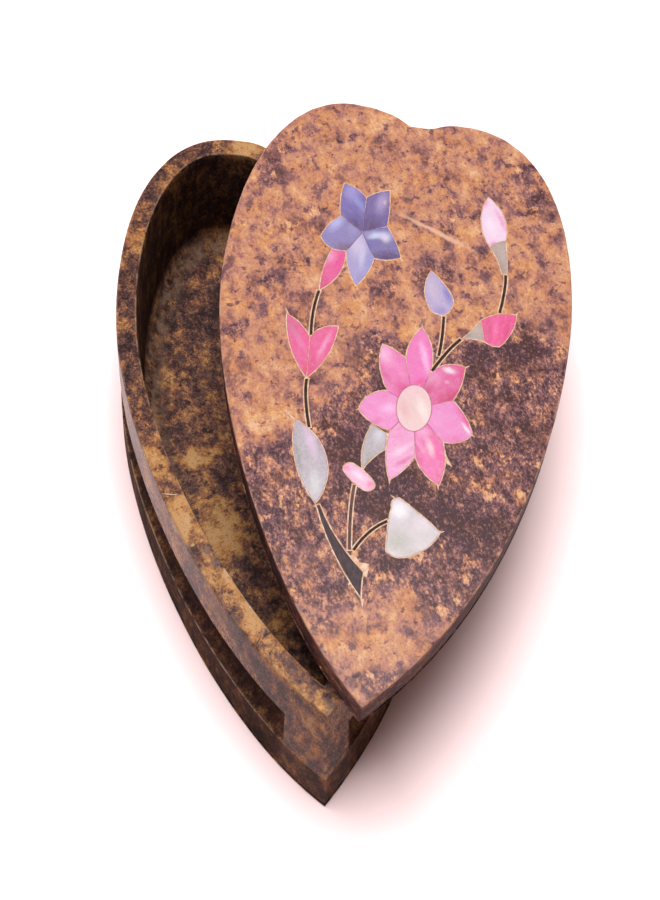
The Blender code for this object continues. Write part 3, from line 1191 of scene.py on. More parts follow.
LID_STONE = StoneFinish(
    name="terracotta_stone",
    shades=((0.26, seen(238, 190, 150)), (0.37, seen(219, 160, 122)), (0.46, seen(199, 138, 117)),
            (0.52, seen(166, 116, 109)), (0.58, seen(138, 98, 101)), (0.67, seen(117, 82, 87)),
            (0.80, seen(84, 60, 66))),
    warm=(1.03, 0.96, 0.76), salt=seen(200, 148, 134), pepper=seen(66, 48, 56),
    tone=0.430,
    areas=(
        lid_area(35.0, -18.0, 34.0, 29.0, 0.20, 0.28),
        lid_area(3.0, -31.0, 23.0, 25.0, 0.175, 0.35),
        lid_area(26.0, -47.5, 11.0, 8.0, 0.06),
        lid_area(-1.0, -42.5, 7.0, 7.0, -0.07),
        lid_area(-6.5, -22.0, 6.0, 8.0, -0.05),
        lid_area(25.0, -44.0, 14.0, 18.0, 0.12, 0.5),
        lid_area(53.0, 6.0, 13.0, 11.0, 0.08, 0.6),
        lid_area(5.0, -5.0, 6.0, 10.0, 0.08),
        lid_area(14.0, 4.0, 6.0, 6.0, 0.09),
        lid_area(31.0, 23.0, 10.0, 6.0, 0.14),
        lid_area(53.0, 44.0, 9.0, 9.0, 0.10),
        lid_area(-8.0, 20.0, 7.0, 11.0, 0.05),
        lid_area(4.0, 14.0, 6.0, 6.0, 0.09),
        lid_area(2.0, 56.0, 9.0, 9.0, 0.07),
        lid_area(11.0, -56.5, 16.0, 8.5, -0.01, 0.5),
        lid_area(38.0, -29.0, 8.0, 7.0, -0.05),
        lid_area(33.0, -40.0, 13.0, 12.0, 0.07),
        lid_area(-5.0, -9.0, 8.0, 6.0, -0.12),
        lid_area(9.0, -66.5, 8.0, 4.5, 0.14),
        # Painted shade: the lid's sides darker than its top.
        StoneArea((18.0, 0.0, 36.0), (300.0, 300.0, 8.6), 0.12, 0.0, 0.12),
        StoneArea((18.0, 0.0, 35.0), (300.0, 300.0, 8.4), 0.07, 0.0, 0.12)),
    # Colours of the wear with its painted highlight, and of the painted shade.
    wear_and_sheen=seen(226, 178, 158), painted_shade=seen(60, 42, 38),
    marks=(Mark((32.9, 33.6, LID_UP), (0.8, 13.0, THROUGH), 54.5, seen(236, 188, 158), 0.9, 2.2),))

BODY_STONE = StoneFinish(
    name="olive_brown_stone",
    shades=((0.28, seen(204, 158, 108)), (0.38, seen(188, 134, 82)), (0.47, seen(152, 104, 74)),
            (0.55, seen(120, 83, 71)), (0.64, seen(89, 63, 60)), (0.80, seen(56, 41, 42))),
    warm=(1.04, 0.97, 0.89), salt=seen(180, 144, 118), pepper=seen(52, 38, 40),
    tone=0.580, patch_size=6.0, patch_swing=0.88, calm=0.0, mottle_swing=0.58,
    speckle_swing=0.40, grit_swing=0.38, deep_swing=0.10,
    grain_stretch=1.2, grain_rise=1.8,
    island_push=0.08, blob_size=3.2, blob_amount=-0.08, blob_push=-0.06, blob_edge=0.09,
    salt_strength=0.15, pepper_strength=0.3, gloss=0.04,
    areas=(
        StoneArea((-20.5, -31.0, 37.4), (9.0, 34.0, 2.4), -0.25, 24.0, 0.4),
        StoneArea((-22.0, -22.0, 29.5), (13.0, 60.0, 6.0), -0.12, 24.0, 0.4),
        StoneArea((-24.0, 57.0, 37.0), (5.0, 4.0, 4.0), -0.13),
        StoneArea((-6.0, 66.0, 37.0), (6.0, 4.0, 4.0), -0.16),
        StoneArea((-31.0, 42.0, 37.0), (4.0, 5.0, 4.0), -0.08),
        StoneArea((-6.0, -60.0, 37.0), (6.0, 10.0, 3.0), -0.10, 24.0),
        StoneArea((-1.4, -66.6, 37.0), (2.0, 3.2, 3.0), -0.18),
        StoneArea((-20.5, 6.0, 5.0), (7.0, 4.5, 4.0), -0.32),
        StoneArea((-8.0, 0.0, 5.0), (60.0, 60.0, 2.4), -0.02, 0.0, 0.2),
        StoneArea((0.0, -66.0, 15.0), (16.0, 14.0, 20.0), -0.01, 0.0, 0.4),
        # Painted shade on the cavity's floor near the far wall.
        StoneArea((-20.0, 44.0, 6.0), (20.0, 20.0, 5.0), 0.05),
        StoneArea((-27.0, 24.0, 5.0), (4.0, 8.0, 4.0), -0.13),
        StoneArea((-18.0, -12.0, 5.0), (8.0, 12.0, 6.0), -0.18),
        StoneArea((-11.0, -52.0, 30.0), (6.0, 14.0, 5.0), 0.06, 24.0, 0.5)),
    # Colours of the wear with its painted highlights and sheen, and of the painted shade.
    wear_and_sheen=seen(210, 172, 140), painted_shade=seen(49, 33, 27),
    marks=(
        rim_mark(-26.65, -20.6, (2.3, 0.15, 0.8), -10.5, (240, 214, 190), 0.9),
        rim_mark(-25.4, -20.2, (0.9, 0.16, 0.8), -25.0, (52, 32, 30)),
        rim_mark(-31.0, -9.0, (0.6, 0.2, 0.8), 31.0, (52, 32, 30)),
        rim_mark(-28.35, -9.75, (0.8, 0.2, 0.8), 21.0, (52, 32, 30)),
        rim_mark(-11.65, -53.35, (1.8, 0.22, 0.8), 58.0, (44, 26, 24), 0.9),
        rim_mark(-19.1, -33.5, (0.5, 0.35, 0.8), -50.0, (44, 26, 24)),
        rim_mark(-15.75, -39.8, (3.2, 0.22, 0.9), -58.6, (250, 226, 204), 0.95),
        rim_mark(-12.5, -46.2, (0.5, 0.4, 0.8), 0.0, (236, 216, 196)),
        rim_mark(-22.8, -32.1, (0.7, 0.5, 0.8), 30.0, (212, 180, 120)),
        rim_mark(-0.9, -67.6, (0.9, 0.8, 1.0), 0.0, (240, 176, 108))))

FILLER = FillerFinish(
    cream=seen(236, 200, 170), peach=seen(216, 160, 120),
    seams=(
        Mark((17.1, 34.7, LID_UP), (5.0, 7.0, THROUGH), -10.5, seen(118, 94, 140), 0.85),
        Mark((22.8, -9.4, LID_UP), (6.8, 9.8, THROUGH), -10.5, seen(206, 100, 146), 0.88)))


# Body of the box


@dataclass(frozen=True)
class Chip:
    """A nick in the rim: its place in millimetres, its reach and its depth."""

    at: Plan
    reach: float
    depth: float


@dataclass
class BoxBody:
    """The hollowed stone body, with a wheel-cut groove along its sides.

    The solids are the stretches at each end of a side that have no groove. The shades say how
    dark the painted shade is, and waves how many waves of handwork there are, in waves per metre.
    """

    plan: HeartPlan
    height: float = 0.0365
    wall: float = 0.0043
    floor: float = 0.0052
    fillet: float = 0.0045
    ease: float = 0.0004
    base_spread: float = 0.0013
    prow_rake: float = 0.0036
    notch_fade: float = 0.0100
    groove_width: float = 0.0122
    groove_middle: float = 0.0175
    groove_depth: float = 0.0025
    groove_end: float = 0.0050
    groove_steps: int = 24
    lip: float = 0.00016
    band_steps: int = 9
    rim_steps: int = 11
    wall_steps: int = 14
    # How dark the painted shade is on the band below the groove, more where the groove is deep,
    # and in the groove.
    band_shade: float = 0.37
    band_shade_by_groove: float = 0.34
    groove_shade: float = 0.84
    waves_along: float = 95
    waves_up: float = 150
    chip_zone: float = 1.6 * MM
    chip_waves: float = 1900
    chip_wear: float = 0.35
    prow_solid_left: float = 0.0105
    prow_solid_right: float = 0.0070
    notch_solid: float = 0.0060
    unevenness: float = 0.00012
    chips: tuple[Chip, ...] = (
        Chip((-20.0, -34.0), 1.1, 0.35), Chip((-18.3, -37.4), 1.7, 0.45),
        Chip((-16.6, -40.6), 1.3, 0.40), Chip((-12.3, -46.4), 0.9, 0.50),
        Chip((0.4, -68.6), 1.2, 0.60), Chip((-10.6, -52.0), 0.7, 0.25),
        Chip((-28.8, 2.0), 0.7, 0.20), Chip((-23.8, -27.2), 0.8, 0.25))

    def side_reach(self, line: list[Vector]) -> list[tuple[float, float, bool]]:
        """Each point's distances from the tip and from the notch along its side, and the side.

        Args:
            line: The outline, from the tip.

        Returns:
            For each point both distances, and whether it is on the right.
        """
        notch = len(line) // 2
        rows = []
        for points, is_right in ((line[:notch + 1], True), (line[notch:] + line[:1], False)):
            reach = [0.0]
            for a, b in zip(points, points[1:]):
                reach.append(reach[-1] + (b - a).length)
            for far in reach[:-1]:
                rest = reach[-1] - far
                rows.append((far, rest, True) if is_right else (rest, far, False))
        return rows

    def run_in(self, distance: float, solid: float) -> float:
        """How much of its depth the groove has at a distance from the end of a side.

        Args:
            distance: The distance.
            solid: How much of the side's end has no groove.

        Returns:
            The share, from 0 to 1.
        """
        t = (distance - solid) / self.groove_end
        if t <= 0.0:
            return 0.0
        return math.sqrt(1.0 - (1.0 - min(t, 1.0)) ** 2)

    def outer_rings(self) -> list[Ring]:
        """The underside's edge, the grooved wall and the outer edge of the rim."""
        line = self.plan.outline()
        reach = self.side_reach(line)
        shares = [self.run_in(tip, self.prow_solid_right if right else self.prow_solid_left)
                  * self.run_in(notch, self.notch_solid) for tip, notch, right in reach]
        fade = [min(1.0, notch / self.notch_fade) for _, notch, _ in reach]
        top = self.plan.length / 2

        def wall_at(height: float, inset: Sequence[float] | float = 0.0) -> list[Vector]:
            """The wall's outline at a height, moved inwards by an inset.

            Args:
                height: The height.
                inset: The inset, for each point or for all.

            Returns:
                The outline.
            """
            below = 1.0 - height / self.height
            u = (height - self.groove_middle) / (self.groove_width / 2)
            depth = self.groove_depth * math.sqrt(max(0.0, 1.0 - u * u))
            insets = [inset] * len(line) if isinstance(inset, float) else inset
            amounts = []
            for point, faded, share, more in zip(line, fade, shares, insets):
                wave = noise.noise(Vector((point.x * self.waves_along, point.y * self.waves_along,
                                       height * self.waves_up)))
                swell = self.unevenness * (0.5 + 0.5 * wave)
                amounts.append(self.base_spread * below * faded - depth * share - more - swell)
            return [Vector((p.x, p.y - self.prow_rake * below * (top - p.y) / self.plan.length))
                    for p in spread(line, amounts)]

        rings = []
        # A little painted shade along the underside's edge, where it meets the floor.
        for _, sunk, eased in quarter(3):
            drop = self.ease * sunk
            rings.append(Ring(at_height(wall_at(drop, self.ease * eased), drop), painted_shade=0.2))
        low = self.groove_middle - self.groove_width / 2
        high = self.groove_middle + self.groove_width / 2
        # Painted shade on the wall below the groove, stronger where the groove is deep.
        band_shaded = [self.band_shade + self.band_shade_by_groove * share for share in shares]
        band = [self.ease + (low - self.ease) * step / self.band_steps
                for step in range(1, self.band_steps)]
        for height in band + [low - self.lip]:
            rings.append(Ring(at_height(wall_at(height), height), painted_shade=band_shaded))
        # Painted shade in the groove under its overhanging upper edge; its lower lip gets wear and
        # a painted highlight.
        for step in range(self.groove_steps + 1):
            turn = math.pi * step / self.groove_steps
            height = self.groove_middle - math.cos(turn) * self.groove_width / 2
            groove_shaded = [self.groove_shade * share * math.sin(turn) ** 0.4 for share in shares]
            rings.append(Ring(at_height(wall_at(height), height), painted_shade=groove_shaded,
                              wear_and_sheen=0.9 if step == 0 else 0.0))
        last = self.height - self.ease
        for step in range(1, self.rim_steps):
            height = high + (last - high) * step / self.rim_steps
            rings.append(Ring(at_height(wall_at(height), height)))
        # Wear and a painted highlight along the rim's outer edge.
        rubbed = uneven(line, base=1.0, swing=0.45, size=4.5 * MM, seed=3.0)
        for turn, sunk, eased in quarter(4):
            insets = [self.ease * eased * share for share in rubbed]
            heights = [self.height - self.ease * sunk * share for share in rubbed]
            rings.append(Ring(at_height(wall_at(self.height, insets), heights),
                              wear_and_sheen=math.sin(turn * 2) * 0.35))
        return rings

    def inner_rings(self) -> list[Ring]:
        """The flat of the rim, its inner edge, the inner wall and the rounded foot."""
        rings = []
        edge = self.wall - self.ease
        for step in range(1, 6):
            inset = self.ease * 1.6 + (edge - self.ease * 2.4) * step / 6
            line = self.plan.outline(inset)
            heights = uneven(line, self.height - 0.03 * MM, swing=0.03 * MM, size=6 * MM,
                             seed=7.0)
            rings.append(Ring(at_height(line, heights)))
        line = self.plan.outline(self.wall)
        rubbed = uneven(line, base=1.0, swing=0.5, size=3.5 * MM, seed=11.0)
        # Wear and a painted highlight along the rim's inner edge.
        for turn, sunk, eased in quarter(4):
            inner = spread(line, [self.ease * sunk * share for share in rubbed])
            heights = [self.height - self.ease * eased * share for share in rubbed]
            rings.append(Ring(at_height(inner, heights), wear_and_sheen=math.sin(turn * 2) * 0.5))
        foot = self.floor + self.fillet
        # Painted shade on the inner wall, darker towards its foot.
        for step in range(1, self.wall_steps):
            height = (self.height - self.ease * 1.5
                      + (foot - self.height + self.ease) * step / self.wall_steps)
            wavy = spread(line, uneven(line, -0.05 * MM, 0.05 * MM, 9 * MM, height * 110))
            rings.append(Ring(at_height(wavy, height), painted_shade=0.14 + 0.045 * step))
        # A painted sheen band along the rounded foot, with a little painted shade towards the
        # floor.
        for step, (turn, sunk, eased) in enumerate(quarter(8)):
            inset = self.wall + self.fillet * eased
            drop = self.fillet * sunk
            rings.append(Ring(at_height(self.plan.outline(inset), self.floor + drop),
                              wear_and_sheen=0.30 * math.sin(2 * turn), painted_shade=0.03 * step))
        inset = self.wall + self.fillet + 1.5 * MM
        rings.append(Ring(at_height(self.plan.outline(inset), self.floor)))
        return rings

    def nick(self, bm: bmesh.types.BMesh) -> None:
        """Breaks the chips out of the rim and marks their fresh faces.

        Args:
            bm: The body's mesh.
        """
        wear_and_sheen = bm.verts.layers.float["wear_and_sheen"]
        for vert in bm.verts:
            if vert.co.z < self.height - self.chip_zone:
                continue
            for chip in self.chips:
                far = (vert.co.xy - Vector(chip.at) * MM).length / (chip.reach * MM)
                if far < 1.0:
                    ragged = 0.75 + 0.5 * noise.noise(vert.co * self.chip_waves)
                    floor = self.height - chip.depth * MM * (1.0 - far * far) * ragged
                    if floor < vert.co.z:
                        vert.co.z = floor
                        vert[wear_and_sheen] = self.chip_wear

    def build(self) -> bpy.types.Object:
        """Makes the body and puts it in its CAD solid's place."""
        bm = new_mesh()
        loft(bm, self.outer_rings() + self.inner_rings())
        self.nick(bm)
        made = as_object(bm, "stone_body", BODY_STONE.build())
        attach(made, BODY)
        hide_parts("box_body")
        return made


# Lid and inlay


@dataclass(frozen=True)
class Inlay:
    """A flat inlaid piece.

    corners run clockwise, in hundredths of the heart's width and length from the lid's middle.
    swells say how far the side after each corner curves outwards, as a share of its own length.
    """

    name: str
    finish: str
    corners: tuple[Plan, ...]
    swells: tuple[float, ...]


@dataclass(frozen=True)
class Flower:
    """A flower whose petals meet along seams, listed clockwise from the top petal.

    The tips and the clefts between the petals are in the same hundredths as an inlay's corners.
    A cleft follows its own petal. hub is the half width and half length of the middle piece.
    """

    name: str
    finishes: tuple[str, ...]
    centre: Plan
    hub: Plan
    tips: tuple[Plan, ...]
    clefts: tuple[Plan, ...]
    swells: tuple[Plan, ...]


@dataclass(frozen=True)
class Stem:
    """A thin dark stem through three points, in the same hundredths, and its relative width.

    lead and tail carry its two ends on to the pieces that it joins, in millimetres.
    """

    name: str
    path: tuple[Plan, Plan, Plan]
    width: float
    lead: float
    tail: float


@dataclass(frozen=True)
class Overrun:
    """A thin wedge of filler where a cut ran on past a corner, in the same hundredths."""

    start: Plan
    end: Plan
    width: float


BLUE_FLOWER = Flower(
    name="blue_petal",
    finishes=("violet_shell", "violet_shell", "blue_shell", "pale_blue_shell", "blue_shell"),
    centre=(-11.4, 26.0), hub=(0.0, 0.0),
    tips=((-18.1, 35.2), (-4.4, 34.5), (0.5, 21.9), (-11.8, 15.9), (-23.4, 24.6)),
    clefts=((-11.2, 32.7), (-4.2, 27.5), (-7.3, 21.3), (-15.5, 22.2), (-18.2, 28.8)),
    swells=((0.05, 0.09), (0.08, 0.02), (0.04, 0.11), (0.07, 0.06), (0.19, 0.08)))

PINK_FLOWER = Flower(
    name="pink_petal",
    finishes=("pink_shell",) * 7,
    centre=(7.5, -4.5), hub=(4.9, 3.9),
    tips=((8.1, 9.5), (21.0, 3.2), (24.0, -8.1), (15.7, -16.8), (2.3, -16.7), (-7.7, -5.6),
          (-2.7, 6.0)),
    clefts=((11.1, 1.4), (18.1, -2.7), (16.0, -9.7), (8.8, -12.5), (1.5, -8.5), (-0.1, -2.0),
            (4.3, 3.8)),
    swells=((0.09, 0.12), (0.19, 0.06), (0.07, 0.15), (0.08, 0.10), (0.05, 0.07), (0.11, 0.19),
            (0.09, 0.05)))

SHELL_PIECES = (
    Inlay("blue_flower_cup", "pink_shell",
          ((-19.7, 22.3), (-15.8, 22.1), (-22.1, 14.6)), (0.0, 0.14, 0.05)),
    Inlay("pink_leaf_left", "pink_shell",
          ((-30.6, 9.8), (-23.3, 5.8), (-23.0, -1.1)), (0.09, 0.0, 0.08)),
    Inlay("pink_leaf_right", "pink_shell",
          ((-23.3, 5.8), (-15.7, 8.3), (-23.0, -1.1)), (0.18, 0.09, 0.0)),
    Inlay("grey_leaf_left", "grey_shell",
          ((-24.8, -8.2), (-16.9, -21.4)), (0.22, 0.10)),
    Inlay("grey_leaf_middle", "grey_shell",
          ((-3.6, -7.7), (0.7, -9.2), (0.6, -11.7), (-5.2, -15.4)), (-0.05, 0.0, -0.05, 0.08)),
    Inlay("white_bud", "white_shell",
          ((3.5, -20.8), (5.3, -19.3), (16.8, -24.1), (7.6, -28.5), (2.9, -27.7)),
          (0.25, 0.02, 0.12, 0.14, 0.03)),
    Inlay("small_pink_bud", "rose_shell",
          ((-10.1, -15.9), (-7.4, -14.7), (-1.8, -17.2), (-4.7, -18.5)),
          (0.42, 0.06, 0.40, 0.06)),
    Inlay("blue_bud", "blue_shell",
          ((9.6, 19.9), (15.9, 15.8), (14.0, 12.0), (9.8, 13.2)), (0.05, 0.20, 0.16, 0.12)),
    Inlay("hot_pink_bud_cup", "grey_shell",
          ((19.8, 8.2), (24.7, 11.7), (26.0, 8.0)), (-0.03, 0.0, -0.04)),
    Inlay("hot_pink_bud", "hot_pink_shell",
          ((24.7, 11.7), (34.9, 13.2), (30.3, 7.3), (26.0, 8.0)), (0.11, 0.09, 0.10, 0.0)),
    Inlay("pale_pink_bud", "rose_shell",
          ((25.1, 34.9), (30.8, 26.8), (26.4, 25.4)), (0.14, -0.10, 0.13)),
    Inlay("pale_pink_bud_cup", "grey_shell",
          ((26.4, 25.4), (30.8, 26.8), (31.6, 20.6), (30.2, 20.5)), (0.10, 0.02, 0.0, -0.04)),
    Inlay("stem_3", "dark_stem",
          ((-16.9, -21.6), (-15.6, -21.3), (-2.3, -31.2), (-2.3, -35.5)),
          (0.0, -0.05, -0.03, 0.045)))

STEMS = (
    Stem("stem_1", ((-22.3, 14.2), (-23.2, 10.5), (-23.1, 6.6)), 1.0, 0.6, 0.5),
    Stem("stem_2", ((-22.9, -1.5), (-22.5, -4.8), (-20.9, -9.0)), 1.0, 0.6, 0.7),
    Stem("stem_4", ((-7.0, -18.1), (-7.3, -22.3), (-6.8, -27.5)), 1.0, 0.45, 1.0),
    Stem("stem_5", ((2.7, -23.1), (-1.6, -24.9), (-5.1, -27.5)), 1.0, 0.15, 1.1),
    Stem("stem_6", ((14.1, 11.6), (14.0, 8.2), (13.5, 5.3)), 1.0, 0.5, 1.0),
    Stem("stem_7", ((19.3, 8.0), (16.0, 5.8), (12.7, 2.9)), 1.1, 0.3, 1.6),
    Stem("stem_8", ((31.3, 20.2), (31.1, 17.3), (30.0, 13.3)), 1.0, 0.4, 0.2))

OVERRUNS = tuple(Overrun(*row) for row in (
    ((8.1, 8.9), (8.1, 10.3), 0.7), ((20.6, 3.0), (22.4, 3.6), 0.6),
    ((23.4, -8.0), (25.1, -8.5), 0.6), ((16.1, -11.9), (19.1, -13.7), 1.6),
    ((15.5, -16.3), (15.6, -17.7), 0.6), ((2.3, -16.2), (2.4, -17.5), 0.6),
    ((-7.2, -5.5), (-8.7, -5.7), 0.6), ((-30.0, 9.4), (-31.2, 10.9), 0.6),
    ((-24.4, -8.6), (-28.4, -6.5), 0.45), ((31.0, 12.6), (32.2, 13.8), 0.5),
    ((34.0, 12.9), (35.7, 13.9), 0.5), ((4.6, -19.7), (2.7, -18.9), 0.6),
    ((-6.1, -28.9), (-2.4, -30.6), 1.2), ((-4.4, -30.7), (-1.3, -29.9), 3.2),
    ((-2.6, -31.8), (-1.4, -29.9), 1.6),
    ((-5.2, -32.7), (-6.3, -33.4), 1.0), ((-2.3, -35.2), (-2.0, -36.5), 0.7),
    ((16.2, -24.1), (18.1, -23.9), 0.8), ((-23.0, 24.6), (-24.4, 24.4), 0.6),
    ((0.2, 22.0), (1.3, 21.1), 0.5)))

